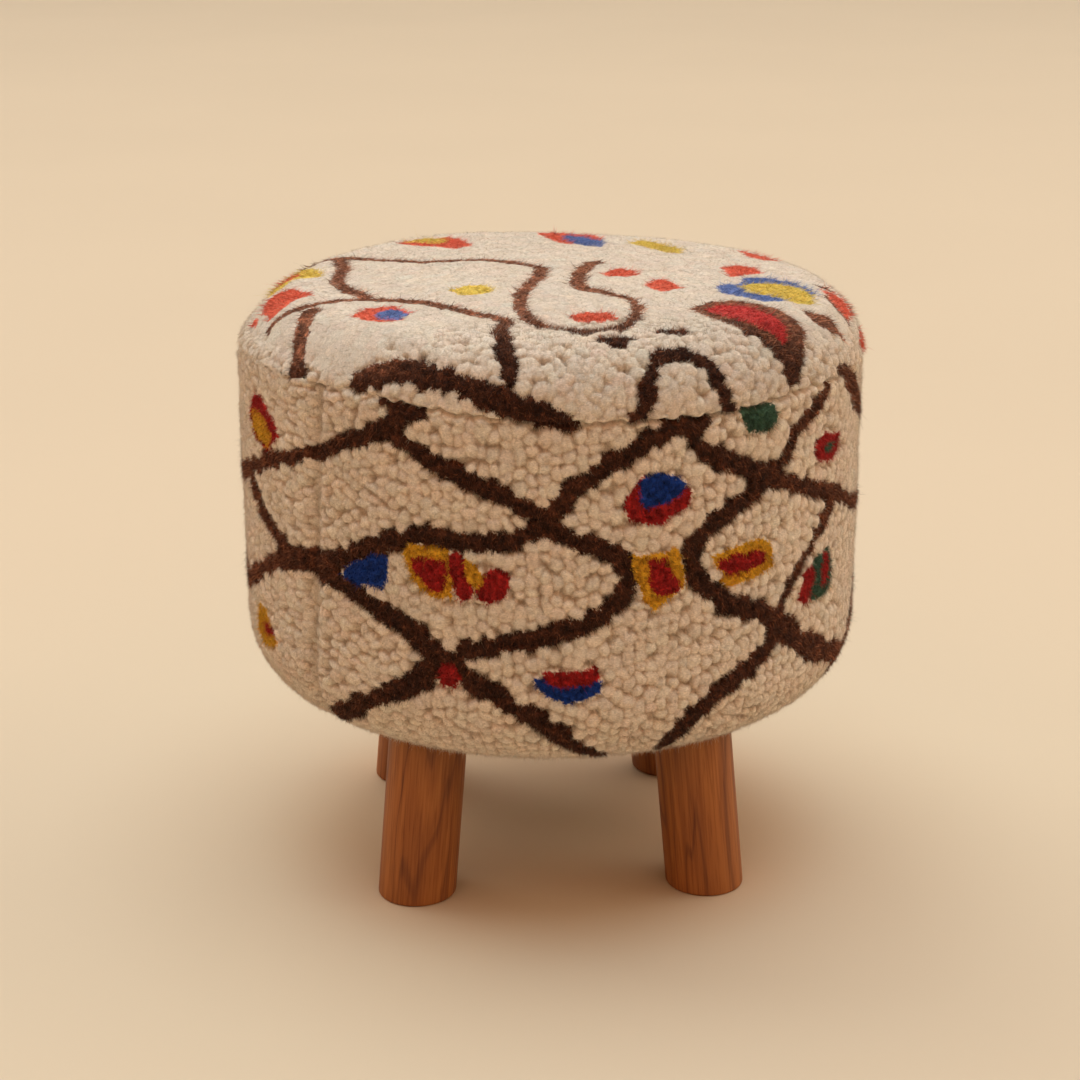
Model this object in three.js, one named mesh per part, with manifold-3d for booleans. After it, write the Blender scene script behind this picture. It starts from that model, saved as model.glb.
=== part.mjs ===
// Round upholstered stool: a wool pile cover over a framed drum, on four splayed dowel legs.
// Millimetres, +Z up. The origin is on the floor under the middle of the seat, and the front
// faces -Y.

import * as THREE from 'three';
import { mergeVertices } from 'three/addons/utils/BufferGeometryUtils.js';
import Module from 'manifold-3d';

const wasm = await Module();
wasm.setup();

// Fits, and the facets that round pieces are made with
const fitGap = 0.3;
const overrun = 4;
const drumFacets = 48;
const legFacets = 32;
const boltFacets = 12;
const screwFacets = 8;
const cordFacets = 6;
const edgeSteps = 5;
const crownSteps = 3;
const cornerSteps = 3;
const seamSteps = 16;

// Frame of the drum
const clearHeight = 118;          // floor to the underside of the pile
const frameRadius = 150;
const baseBoardThickness = 18;
const postHeight = 165;
const postSide = 30;
const seatBoardThickness = 15;
const skinThickness = 3;

// Upholstery
const coverThickness = 12;        // rug backing and pile together
const sideFoamThickness = 37.4;
const seatFoamThickness = 48;     // at the middle of the seat
const crownRise = 8;
const flatSeatRadius = 45;
const seatEdgeRound = 44;         // over the pile
const seamDrop = 1;               // the seam starts this far below the rounded edge
const seamCordDiameter = 3;
const seamAngle = 219;            // degrees, the side seam left of the front; the other is opposite
const hemWidth = 28;
const hemThickness = 3;
const dustCoverThickness = 1;
const dustCoverLap = 12;          // how far it lies over the hem

// Legs and their plates
const legDiameter = 50;
const legSplay = 7;               // degrees from upright
const plateThickness = 2;
const plateInset = 6;             // from the board's edge
const plateMargin = 6.4;          // from a screw's middle to the plate's side
const plateCornerRound = 5;
const plateCutMargin = 1.5;       // the hem and dust cover are cut this far round a plate
const padInset = 3;               // from the leg's edge to the pad's
const padLip = 1;
const headToLeg = 1.5;            // clearance between a screw's head and the leg

// Fasteners
const hangerDiameter = 8;
const hangerInLeg = 40;
const hangerAbovePlate = 11;
const hangerTip = 6;
const hangerHoleClearance = 1;
const plateScrew = { headRadius: 3.3, headHeight: 2.2, topRadius: 3.3, shankRadius: 2, length: 14, tip: 4 };
const postScrew = { headRadius: 4.3, headHeight: 2.6, topRadius: 2.25, shankRadius: 2.25, length: 44, tip: 5 };

// Worked out from the sizes above
const radians = THREE.MathUtils.degToRad;
const legRadius = legDiameter / 2;
const cordRadius = seamCordDiameter / 2;
const drumRadius = frameRadius + fitGap + sideFoamThickness + fitGap + coverThickness;
const baseEdgeRound = drumRadius - frameRadius;
const baseEdgeCentre = clearHeight + baseEdgeRound;

const baseBottom = clearHeight + coverThickness + fitGap;
const baseTop = baseBottom + baseBoardThickness;
const postBottom = baseTop + fitGap;
const postTop = postBottom + postHeight;
const seatBoardBottom = postTop + fitGap;
const seatBoardTop = seatBoardBottom + seatBoardThickness;
const seatFoamBottom = seatBoardTop + fitGap;
const seatTop = seatFoamBottom + seatFoamThickness + fitGap + coverThickness;

const shoulder = seatTop - crownRise;
const shoulderRound = Math.min(seatEdgeRound, shoulder - seatFoamBottom);
const shoulderCentre = shoulder - shoulderRound;
const seamSlot = seamCordDiameter + 2 * fitGap;
const seamHeight = shoulderCentre - seamDrop - seamSlot / 2;
const foamInset = coverThickness + fitGap;
const cordInset = coverThickness - cordRadius;

const slope = radians(legSplay);
const headToAxis = legRadius / Math.cos(slope) + plateScrew.headRadius + headToLeg;
const screwOffset = headToAxis * Math.SQRT1_2;
const plateHalf = screwOffset + plateMargin;
const plateCircle = frameRadius - plateInset - plateHalf;
const plateBottom = -fitGap - plateThickness;     // from the board's underside
const padRadius = legRadius - padInset;
const padReach = legRadius * Math.tan(slope) + padLip - plateBottom;
const legTop = padReach + fitGap;
const footCircle = plateCircle + baseBottom * Math.tan(slope);
const facetShare = Math.cos(Math.PI / drumFacets);
const skinInner = (frameRadius - skinThickness) * facetShare - fitGap;
const postCircle = Math.sqrt(skinInner ** 2 - (postSide / 2) ** 2) - postSide / 2;

const corners = [
  { name: 'rear_right', angle: 45 },
  { name: 'rear_left', angle: 135 },
  { name: 'front_left', angle: 225 },
  { name: 'front_right', angle: 315 },
];
const posts = [
  { name: 'right', angle: 0 },
  { name: 'rear', angle: 90 },
  { name: 'left', angle: 180 },
  { name: 'front', angle: 270 },
];

// Finishes
const finish = (color, roughness, metalness) => new THREE.MeshStandardMaterial({ color, roughness, metalness });
const woolPile = () => finish(0xd8c6ad, 0.95, 0);
const seamThread = () => finish(0xb9a78c, 0.9, 0);
const rugBacking = () => finish(0xa8947a, 0.95, 0);
const blackCloth = () => finish(0x26241f, 0.9, 0);
const foam = () => finish(0xe6dcb8, 0.95, 0);
const legWood = () => finish(0x9a5b30, 0.5, 0);
const boardWood = () => finish(0xc9a46f, 0.7, 0);
const hardboard = () => finish(0x7d5a3a, 0.8, 0);
const zincSteel = () => finish(0xb5b8bc, 0.35, 0.9);

// Booleans: a closed three.js geometry as a solid, and a solid as a three.js geometry
function solidOf(geometry) {
  const bare = geometry.clone();
  bare.deleteAttribute('normal');
  bare.deleteAttribute('uv');
  const welded = mergeVertices(bare);
  const place = welded.attributes.position;
  const faces = [];
  let volume = 0;
  for (let i = 0; i < welded.index.count; i += 3) {
    const [a, b, c] = [0, 1, 2].map((k) => welded.index.getX(i + k));
    if (a === b || b === c || c === a) continue;
    const [p, q, r] = [a, b, c].map((k) => new THREE.Vector3().fromBufferAttribute(place, k));
    volume += p.dot(q.cross(r));
    faces.push(a, b, c);
  }
  if (volume < 0) faces.reverse();
  return new wasm.Manifold(new wasm.Mesh({
    numProp: 3,
    vertProperties: new Float32Array(place.array),
    triVerts: new Uint32Array(faces),
  }));
}

function geometryOf(solid) {
  const mesh = solid.getMesh();
  const geometry = new THREE.BufferGeometry();
  geometry.setAttribute('position', new THREE.BufferAttribute(new Float32Array(mesh.vertProperties), 3));
  geometry.setIndex(new THREE.BufferAttribute(new Uint32Array(mesh.triVerts), 1));
  geometry.computeVertexNormals();
  return geometry;
}

function cut(geometry, cutters) {
  return geometryOf(cutters.reduce((solid, cutter) => solid.subtract(solidOf(cutter)), solidOf(geometry)));
}

function kept(geometry, keeper) {
  return geometryOf(solidOf(geometry).intersect(solidOf(keeper)));
}

// A profile of [radius, height] points turned about the Z axis
function turned(profile, facets) {
  const points = profile.map(([radius, height]) => new THREE.Vector2(radius, height));
  return new THREE.LatheGeometry(points, facets).rotateX(Math.PI / 2);
}

function ring(profile, facets) {
  return turned([...profile, profile[0]], facets);
}

function disc(radius, bottom, top, facets) {
  return turned([[0, bottom], [radius, bottom], [radius, top], [0, top]], facets);
}

function block(width, depth, bottom, top) {
  return new THREE.BoxGeometry(width, depth, top - bottom).translate(0, 0, (top + bottom) / 2);
}

// A quarter arc in [radius, height] points, from one angle to another in degrees
function arc(centreRadius, centreHeight, radius, from, to) {
  return Array.from({ length: edgeSteps + 1 }, (_, i) => {
    const angle = radians(from + (to - from) * i / edgeSteps);
    return [centreRadius + radius * Math.cos(angle), centreHeight + radius * Math.sin(angle)];
  });
}

// The top of the seat at a depth under the pile's surface, from the seam in to the axis
function seatProfile(depth, bottom) {
  const edgeRadius = drumRadius - shoulderRound;
  const crown = Array.from({ length: crownSteps }, (_, i) => {
    const share = 1 - (i + 1) / crownSteps;
    return [flatSeatRadius + (edgeRadius - flatSeatRadius) * share, seatTop - depth - crownRise * share ** 2];
  });
  return [
    [drumRadius - depth, bottom],
    ...arc(edgeRadius, shoulderCentre, shoulderRound - depth, 0, 90),
    ...crown,
    [0, seatTop - depth],
  ];
}

// The side of the drum at a depth under the pile's surface, from the frame up to a height
function sideProfile(depth, top) {
  return [
    ...arc(frameRadius, baseEdgeCentre, baseEdgeRound - depth, -90, 0),
    [drumRadius - depth, top],
  ];
}

// A point along the side seam: down the wall, then round the lower edge
class SideSeam extends THREE.Curve {
  getPoint(share) {
    const top = seamHeight - seamSlot / 2;
    const bend = baseEdgeRound - cordInset;
    const straight = top - baseEdgeCentre;
    const along = share * (straight + bend * Math.PI / 2);
    const turn = Math.max(0, along - straight) / bend;
    const height = baseEdgeCentre + Math.max(0, straight - along) - bend * Math.sin(turn);
    return new THREE.Vector3(frameRadius + bend * Math.cos(turn), 0, height);
  }
}

// A screw pointing up from its head's underside at height zero, made larger by a clearance
function screwGeometry(size, clearance = 0) {
  const head = size.headHeight + clearance;
  return turned([
    [0, -head],
    [size.headRadius + clearance, -head],
    [size.topRadius + clearance, 0],
    [size.shankRadius + clearance, 0],
    [size.shankRadius + clearance, size.length - size.tip],
    [0, size.length + clearance],
  ].filter(([radius, height], i, all) => i === 0 || radius !== all[i - 1][0] || height !== all[i - 1][1]), screwFacets);
}

// The same place in the drum for a piece that is made on the X axis
function turnedTo(geometry, angle) {
  return geometry.clone().rotateZ(radians(angle));
}

// Leg, plate and bolt are made where the leg's axis meets the base board, outwards along +X
function alongLeg(geometry) {
  return geometry.rotateY(-slope);
}

function plateOutline(half, round) {
  const flat = half - round;
  const shape = new THREE.Shape();
  shape.moveTo(flat, -half);
  shape.absarc(flat, -flat, round, -Math.PI / 2, 0, false);
  shape.absarc(flat, flat, round, 0, Math.PI / 2, false);
  shape.absarc(-flat, flat, round, Math.PI / 2, Math.PI, false);
  shape.absarc(-flat, -flat, round, Math.PI, Math.PI * 3 / 2, false);
  shape.closePath();
  return shape;
}

const screwPlaces = [[1, 1], [-1, 1], [-1, -1], [1, -1]].map(([x, y]) => [x * screwOffset, y * screwOffset]);

function plateScrewGeometry([x, y], clearance = 0) {
  return screwGeometry(plateScrew, clearance).translate(x, y, plateBottom - fitGap);
}

function plateGeometry() {
  const sheet = new THREE.ExtrudeGeometry(plateOutline(plateHalf, plateCornerRound), {
    depth: plateThickness, bevelEnabled: false, curveSegments: cornerSteps,
  }).translate(0, 0, plateBottom);
  const pad = alongLeg(disc(padRadius, -padReach, padRadius * Math.tan(slope), boltFacets * 2));
  const under = block(4 * plateHalf, 4 * plateHalf, -2 * plateHalf, plateBottom + plateThickness / 2);
  const boss = solidOf(pad).intersect(solidOf(under));
  const whole = geometryOf(solidOf(sheet).add(boss));
  const hole = alongLeg(disc(hangerDiameter / 2 + fitGap, -padReach - overrun, overrun, boltFacets));
  return cut(whole, [hole, ...screwPlaces.map((place) => plateScrewGeometry(place, fitGap))]);
}

function hangerGeometry() {
  const radius = hangerDiameter / 2;
  return alongLeg(turned([
    [0, -legTop - hangerInLeg],
    [radius, -legTop - hangerInLeg + hangerTip],
    [radius, hangerAbovePlate],
    [0, hangerAbovePlate],
  ], boltFacets));
}

function legGeometry() {
  const pastFloor = baseBottom / Math.cos(slope) + legDiameter * Math.tan(slope);
  const dowel = alongLeg(disc(legRadius, -pastFloor, -legTop, legFacets));
  const bore = alongLeg(disc(hangerDiameter / 2 + fitGap, -legTop - hangerInLeg - fitGap, -legTop + overrun, boltFacets));
  const reach = 2 * (footCircle + legDiameter);
  const underFloor = block(reach, reach, -baseBottom - pastFloor, -baseBottom);
  return cut(dowel, [underFloor, bore]);
}

// The hole that a plate leaves in the cloth round it
function plateCut(angle) {
  const side = 2 * (plateHalf + plateCutMargin);
  return turnedTo(block(side, side, clearHeight, baseTop).translate(plateCircle, 0, 0), angle);
}

function atPlate(geometry, angle) {
  return turnedTo(geometry.translate(plateCircle, 0, baseBottom), angle);
}

function postScrewFromBelow(clearance = 0) {
  return screwGeometry(postScrew, clearance).translate(postCircle, 0, baseBottom + postScrew.headHeight);
}

function postScrewFromAbove(clearance = 0) {
  return screwGeometry(postScrew, clearance).rotateX(Math.PI)
    .translate(postCircle, 0, seatBoardTop - postScrew.headHeight);
}

function baseBoardGeometry() {
  const hangerHole = disc(hangerDiameter / 2 + hangerHoleClearance, -overrun, baseBoardThickness * 2, boltFacets);
  const perPlate = [alongLeg(hangerHole), ...screwPlaces.map((place) => plateScrewGeometry(place, fitGap))];
  const holes = corners.flatMap(({ angle }) => perPlate.map((hole) => atPlate(hole.clone(), angle)));
  const fromBelow = posts.map(({ angle }) => turnedTo(postScrewFromBelow(fitGap), angle));
  return cut(disc(frameRadius, baseBottom, baseTop, drumFacets), [...holes, ...fromBelow]);
}

function seatBoardGeometry() {
  const fromAbove = posts.map(({ angle }) => turnedTo(postScrewFromAbove(fitGap), angle));
  return cut(disc(frameRadius, seatBoardBottom, seatBoardTop, drumFacets), fromAbove);
}

function postGeometry() {
  const post = block(postSide, postSide, postBottom, postTop).translate(postCircle, 0, 0);
  return cut(post, [postScrewFromBelow(fitGap), postScrewFromAbove(fitGap)]);
}

function skinGeometry() {
  const inner = frameRadius - skinThickness;
  return ring([[inner, postBottom], [frameRadius, postBottom], [frameRadius, postTop], [inner, postTop]], drumFacets);
}

function sideFoamGeometry() {
  const inner = frameRadius + fitGap;
  const side = sideProfile(foamInset, seatBoardTop).slice(1);
  const atFrame = baseEdgeCentre - Math.sqrt((baseEdgeRound - foamInset) ** 2 - fitGap ** 2);
  return ring([...side, [inner, seatBoardTop], [inner, atFrame]], drumFacets);
}

function seatFoamGeometry() {
  return turned([[0, seatFoamBottom], ...seatProfile(foamInset, seatFoamBottom)], drumFacets);
}

function topPanelGeometry() {
  const bottom = seamHeight + seamSlot / 2;
  return turned([...seatProfile(coverThickness, bottom).reverse(), ...seatProfile(0, bottom)], drumFacets);
}

function sidePanelGeometry(turn) {
  const top = seamHeight - seamSlot / 2;
  const whole = ring([...sideProfile(0, top), ...sideProfile(coverThickness, top).reverse()], drumFacets);
  const reach = 2 * drumRadius + overrun;
  const half = block(reach, reach, 0, seatTop).translate(0, reach / 2 + seamSlot / 2, 0);
  return kept(whole, turnedTo(half, seamAngle + turn));
}

function seatSeamGeometry() {
  const middle = drumRadius - cordInset;
  const section = Array.from({ length: cordFacets }, (_, i) => {
    const angle = radians(360 * i / cordFacets);
    return [middle + cordRadius * Math.cos(angle), seamHeight + cordRadius * Math.sin(angle)];
  });
  return ring(section, drumFacets);
}

function sideSeamGeometry() {
  const section = new THREE.Shape(Array.from({ length: cordFacets }, (_, i) => {
    const angle = radians(360 * i / cordFacets);
    return new THREE.Vector2(cordRadius * Math.cos(angle), cordRadius * Math.sin(angle));
  }));
  return new THREE.ExtrudeGeometry(section, {
    steps: seamSteps, bevelEnabled: false, extrudePath: new SideSeam(),
  });
}

function hemGeometry() {
  const outer = frameRadius - fitGap;
  const inner = outer - hemWidth;
  const top = baseBottom - fitGap;
  const bottom = top - hemThickness;
  const strip = ring([[inner, bottom], [outer, bottom], [outer, top], [inner, top]], drumFacets);
  return cut(strip, corners.map(({ angle }) => plateCut(angle)));
}

function dustCoverGeometry() {
  const top = baseBottom - fitGap - hemThickness - fitGap;
  const radius = frameRadius - fitGap - hemWidth + dustCoverLap;
  const cloth = disc(radius, top - dustCoverThickness, top, drumFacets);
  return cut(cloth, corners.map(({ angle }) => plateCut(angle)));
}

// The stool, piece by piece
const stool = new THREE.Group();

function add(parent, name, geometry, material) {
  const mesh = new THREE.Mesh(geometry, material);
  mesh.name = name;
  parent.add(mesh);
  return mesh;
}

add(stool, 'base_board', baseBoardGeometry(), boardWood());
add(stool, 'seat_board', seatBoardGeometry(), boardWood());
add(stool, 'drum_skin', skinGeometry(), hardboard());
add(stool, 'side_foam', sideFoamGeometry(), foam());
add(stool, 'seat_foam', seatFoamGeometry(), foam());
add(stool, 'cover_top_panel', topPanelGeometry(), woolPile());
add(stool, 'cover_side_front', sidePanelGeometry(0), woolPile());
add(stool, 'cover_side_rear', sidePanelGeometry(180), woolPile());
add(stool, 'seat_seam_cord', seatSeamGeometry(), seamThread());
add(stool, 'cover_hem', hemGeometry(), rugBacking());
add(stool, 'dust_cover', dustCoverGeometry(), blackCloth());

for (const [name, turn] of [['left', 0], ['right', 180]]) {
  const cord = add(stool, `side_seam_cord_${name}`, sideSeamGeometry(), seamThread());
  cord.rotation.z = radians(seamAngle + turn);
}

for (const { name, angle } of posts) {
  const station = new THREE.Group();
  station.rotation.z = radians(angle);
  stool.add(station);
  add(station, `post_${name}`, postGeometry(), boardWood());
  add(station, `post_screw_lower_${name}`, postScrewFromBelow(), zincSteel());
  add(station, `post_screw_upper_${name}`, postScrewFromAbove(), zincSteel());
}

for (const { name, angle } of corners) {
  const station = new THREE.Group();
  station.rotation.z = radians(angle);
  stool.add(station);
  const mount = new THREE.Group();
  mount.position.set(plateCircle, 0, baseBottom);
  station.add(mount);
  add(mount, `leg_${name}`, legGeometry(), legWood());
  add(mount, `leg_plate_${name}`, plateGeometry(), zincSteel());
  add(mount, `hanger_bolt_${name}`, hangerGeometry(), zincSteel());
  screwPlaces.forEach((place, i) => {
    add(mount, `plate_screw_${name}_${i + 1}`, plateScrewGeometry(place), zincSteel());
  });
}

export default stool;
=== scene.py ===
"""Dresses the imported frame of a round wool-covered stool and sets it in a plain studio.

The drum wears a thick knotted rug: cream pillow-like tufts with dark brown freehand lozenge
lines and small coloured motifs. Lengths are metres unless a name says millimetres.
"""

import logging
import math
from collections.abc import Callable
from dataclasses import dataclass
from enum import Enum

import bpy
import numpy as np
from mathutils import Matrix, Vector
from mathutils.geometry import delaunay_2d_cdt


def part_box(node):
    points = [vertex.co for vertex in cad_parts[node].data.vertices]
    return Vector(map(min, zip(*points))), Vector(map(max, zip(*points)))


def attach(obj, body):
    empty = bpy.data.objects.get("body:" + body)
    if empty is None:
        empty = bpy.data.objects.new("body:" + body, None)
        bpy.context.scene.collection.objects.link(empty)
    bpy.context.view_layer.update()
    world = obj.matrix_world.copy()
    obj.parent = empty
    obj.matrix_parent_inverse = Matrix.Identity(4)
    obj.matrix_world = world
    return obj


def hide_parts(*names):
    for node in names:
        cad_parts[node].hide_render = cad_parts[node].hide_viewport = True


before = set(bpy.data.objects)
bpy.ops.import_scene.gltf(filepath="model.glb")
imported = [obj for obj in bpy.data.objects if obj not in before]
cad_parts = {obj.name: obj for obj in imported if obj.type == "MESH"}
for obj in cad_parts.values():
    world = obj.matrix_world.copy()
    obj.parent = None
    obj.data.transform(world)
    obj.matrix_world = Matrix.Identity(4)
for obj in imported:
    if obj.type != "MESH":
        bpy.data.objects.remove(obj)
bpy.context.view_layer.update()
LOG = logging.getLogger("stool")
MM = 0.001
CORNERS = {"rear_right": 45.0, "rear_left": 135.0, "front_left": 225.0, "front_right": 315.0}
SIDES = ("right", "rear", "left", "front")
PLATE_CIRCLE = 116.4 * MM
Array, Pair, Triple = np.ndarray, tuple[float, float], tuple[float, float, float]
Piece, Material, Node = bpy.types.Object, bpy.types.Material, bpy.types.Node


class Yarn(Enum):
    """Wool colours of the rug, as linear albedo."""

    CREAM = (0.828, 0.717, 0.597)
    BROWN = (0.066, 0.0215, 0.010)
    RED = (0.42, 0.019, 0.018)
    CORAL = (0.80, 0.13, 0.068)
    YELLOW = (0.84, 0.46, 0.032)
    BLUE = (0.011, 0.052, 0.31)
    GREEN = (0.054, 0.120, 0.076)

    @property
    def number(self) -> int:
        """Place of the yarn among all yarns."""
        return YARNS.index(self)


YARNS = list(Yarn)


class Panel(Enum):
    """Panels that the rug is cut into."""

    SEAT = "seat"
    FRONT = "front"
    REAR = "rear"


def polar(radius: Array, azimuth: Array, *more: Array) -> Array:
    """Points at distances and directions from the axis, with any further coordinates after them."""
    return np.stack([radius * np.cos(azimuth), radius * np.sin(azimuth), *more], axis=-1)


def bell(value: Array, middle: float, width: float) -> Array:
    """Smooth bell that is 1 in the middle and falls off over a width."""
    return np.exp(-(((value - middle) / width) ** 2))


def ramp_up(value: Array, start: float, width: float) -> Array:
    """Straight rise from 0 at the start to 1 a width further on."""
    return np.clip((value - start) / width, 0, 1)


def degrees_off(azimuth: Array, middle: float) -> Array:
    """How far an azimuth in radians is turned from one in degrees, from -180 to 180 degrees."""
    return (np.degrees(azimuth) - middle + 180) % 360 - 180


@dataclass(frozen=True)
class PhotoCamera:
    """The camera that took the photograph, fitted to the drum's outline and the feet.

    The picture is square, and pixel places are counted on a side of 1080 pixels.
    """

    place: Triple = (-0.1153, -1.3928, 0.6609)
    yaw: float = math.radians(-4.46)
    pitch: float = math.radians(18.06)
    lens_mm: float = 74.04
    sensor_mm: float = 36.0
    picture: float = 1080.0

    def rays(self, pixels: Array) -> Array:
        """Directions through pixel places.

        Args:
            pixels: places as rows of across and down.

        Returns:
            Unit directions in the object's frame, one row each.
        """
        focal = self.lens_mm / self.sensor_mm * self.picture
        across = (pixels[:, 0] - self.picture / 2) / focal
        down = (pixels[:, 1] - self.picture / 2) / focal
        ahead = math.cos(self.pitch) - down * math.sin(self.pitch)
        up = -math.sin(self.pitch) - down * math.cos(self.pitch)
        cos, sin = math.cos(self.yaw), math.sin(self.yaw)
        rays = np.stack([across * cos - ahead * sin, across * sin + ahead * cos, up], axis=1)
        return rays / np.linalg.norm(rays, axis=1, keepdims=True)

    def build(self) -> Piece:
        """Makes the scene's camera.

        Returns:
            The camera.
        """
        data = bpy.data.cameras.new("photo_camera")
        data.lens = self.lens_mm
        data.sensor_width = self.sensor_mm
        data.clip_end = 60.0
        camera = bpy.data.objects.new("photo_camera", data)
        camera.location = self.place
        camera.rotation_euler = (math.pi / 2 - self.pitch, 0.0, self.yaw)
        bpy.context.scene.collection.objects.link(camera)
        bpy.context.scene.camera = camera
        return camera


@dataclass
class DrumShape:
    """Outer form of the covered drum, a turned surface measured by arc length from its axis.

    Seam heights are azimuths in degrees with millimetres above the floor.
    """

    radius: float
    seat_height: float
    base_height: float
    crown_rise: float = 8 * MM
    flat_radius: float = 45 * MM
    edge_round: float = 44 * MM
    base_round: float = 50 * MM
    lip_round: float = 5 * MM
    lip_rise: float = 3.9 * MM
    step: float = 0.25 * MM
    crown_steps: int = 500
    round_steps: int = 200
    curl_steps: int = 30
    seam_azimuth: float = 219.0
    seam_heights: tuple[Pair, ...] = (
        (0, 338), (60, 340), (150, 342), (200, 346), (231.4, 348.5), (240.2, 345), (252.3, 341),
        (265.2, 338), (298.1, 337), (312.1, 341), (330, 340), (360, 338))
    lean_start: float = 313 * MM
    lean_reach: float = 161 * MM
    lean_angles: Pair = (2.1, 3.5)
    lean_width: float = 14.0
    ray_reach: float = 0.3
    ray_steps: int = 1200
    ray_turn: float = 0.0002
    ray_turns: int = 60
    halvings: int = 14

    def __post_init__(self) -> None:
        """Tabulates the profile from the seat's middle to the lip turned in under the drum."""
        inner = self.radius - self.edge_round
        across = np.linspace(0.0, inner, self.crown_steps)
        share = ramp_up(across, self.flat_radius, inner - self.flat_radius)
        crown = self.seat_height - self.crown_rise * (3 * share**2 - 2 * share**3)
        turn = np.linspace(math.pi / 2, 0.0, self.round_steps)[1:]
        centre = self.seat_height - self.crown_rise - self.edge_round
        low = self.base_height + self.base_round
        under = np.linspace(0.0, -math.pi / 2, self.round_steps)
        curl = np.linspace(0.0, math.pi / 2, self.curl_steps)[1:]
        end_r, curl_z = self.radius - self.base_round, self.base_height + self.lip_round
        r = np.concatenate([across, inner + self.edge_round * np.cos(turn),
                            end_r + self.base_round * np.cos(under),
                            end_r - self.lip_round * np.sin(curl), [end_r - self.lip_round]])
        z = np.concatenate([crown, centre + self.edge_round * np.sin(turn),
                            low + self.base_round * np.sin(under),
                            curl_z - self.lip_round * np.cos(curl), [curl_z + self.lip_rise]])
        arc = np.concatenate([[0.0], np.cumsum(np.hypot(np.diff(r), np.diff(z)))])
        self.wall_top_arc = float(arc[len(across) + len(turn) - 1])
        self.shoulder_arc = float(arc[len(across) - 1])
        self.bottom_arc = float(arc[len(across) + len(turn) + len(under) - 1])
        self.end_arc = float(arc[-1])
        self.arc = np.arange(0.0, self.end_arc, self.step)
        self.r = np.interp(self.arc, arc, r)
        self.z = np.interp(self.arc, arc, z)
        slope_r, slope_z = np.gradient(self.r, self.step), np.gradient(self.z, self.step)
        length = np.hypot(slope_r, slope_z)
        self.out_r, self.out_z = -slope_z / length, slope_r / length
        self.crown_r, self.crown_z = r[: len(across) + len(turn)], z[: len(across) + len(turn)]
        bottom = slice(len(across) + len(turn), len(across) + len(turn) + len(under))
        self.under_r, self.under_z = r[bottom][::-1], z[bottom][::-1]

    def point(self, azimuth: Array, arc: Array, depth: Array) -> Array:
        """Points under the surface.

        Args:
            azimuth: in radians from +X.
            arc: arc length from the axis.
            depth: how far under the outer surface.

        Returns:
            Points with a last axis of three.
        """
        r = np.interp(arc, self.arc, self.r) - depth * np.interp(arc, self.arc, self.out_r)
        z = np.interp(arc, self.arc, self.z) - depth * np.interp(arc, self.arc, self.out_z)
        return polar(r, azimuth, z)

    def outward(self, azimuth: Array, arc: Array) -> Array:
        """Unit outward directions of the smooth surface."""
        r, z = np.interp(arc, self.arc, self.out_r), np.interp(arc, self.arc, self.out_z)
        return polar(r, azimuth, z)

    def downward(self, azimuth: Array, arc: Array) -> Array:
        """Unit directions along the surface away from the seat's middle."""
        r, z = np.interp(arc, self.arc, self.out_r), np.interp(arc, self.arc, self.out_z)
        return polar(z, azimuth, -r)

    def holds(self, points: Array, inset: float) -> Array:
        """True for the points that lie inside the drum, made smaller all round by an inset.

        Args:
            points: any points.
            inset: how much smaller the drum is taken all round.

        Returns:
            True or false for each point.
        """
        middle = (self.seat_height + self.base_height) / 2
        half = (self.seat_height - self.base_height) / 2
        r = np.hypot(points[..., 0], points[..., 1]) * self.radius / (self.radius - inset)
        z = middle + (points[..., 2] - middle) * half / (half - inset)
        top = np.interp(r, self.crown_r, self.crown_z)
        bottom = np.interp(r, self.under_r, self.under_z)
        return (r < self.radius) & (z < top) & (z > bottom)

    def hit(self, start: Triple, rays: Array, inset: float) -> Array:
        """First points of the surface on rays.

        Args:
            start: where every ray starts.
            rays: unit directions, one row each.
            inset: how far under the outer surface the points lie.

        Returns:
            Surface points as rows; a ray that passes the drum is turned towards it until it touches.
        """
        origin = np.array(start)
        middle = np.array([0.0, 0.0, (self.seat_height + self.base_height) / 2])
        reach = float(np.linalg.norm(middle - origin))
        travel = np.linspace(reach - self.ray_reach, reach + self.ray_reach, self.ray_steps + 1)
        inside = self.holds(origin + rays[:, None, :] * travel[None, :, None], inset)
        above = (origin + rays * reach)[:, 2] > middle[2]
        turn = np.outer(np.where(above, -self.ray_turn, self.ray_turn), [0.0, 0.0, 1.0])
        for _ in range(self.ray_turns):
            missed = ~inside.any(axis=1)
            if not missed.any():
                break
            rays[missed] += turn[missed]
            inside[missed] = self.holds(origin + rays[missed][:, None, :] * travel[None, :, None], inset)
        first = np.where(inside.any(axis=1), inside.argmax(axis=1), self.ray_steps // 2)
        far, near = travel[first], travel[np.maximum(first - 1, 0)]
        for _ in range(self.halvings):
            half = (far + near) / 2
            within = self.holds(origin + rays * half[:, None], inset)
            far, near = np.where(within, half, far), np.where(within, near, half)
        return origin + rays * far[:, None]

    def unroll(self, points: Array) -> tuple[Array, Array]:
        """Azimuth in degrees from 0 to 360 and arc length of surface points.

        Args:
            points: surface points as rows.

        Returns:
            Azimuths and arc lengths.
        """
        azimuth = np.degrees(np.arctan2(points[:, 1], points[:, 0])) % 360
        r = np.hypot(points[:, 0], points[:, 1])
        gap = np.hypot(r[:, None] - self.r[None, :], points[:, 2][:, None] - self.z[None, :])
        return azimuth, self.arc[gap.argmin(axis=1)]

    def arc_at_height(self, height: Array | float) -> Array | float:
        """Arc length of a height on the side."""
        side = (self.arc > self.shoulder_arc) & (self.arc < self.bottom_arc)
        return np.interp(height, self.z[side][::-1], self.arc[side][::-1])

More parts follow.
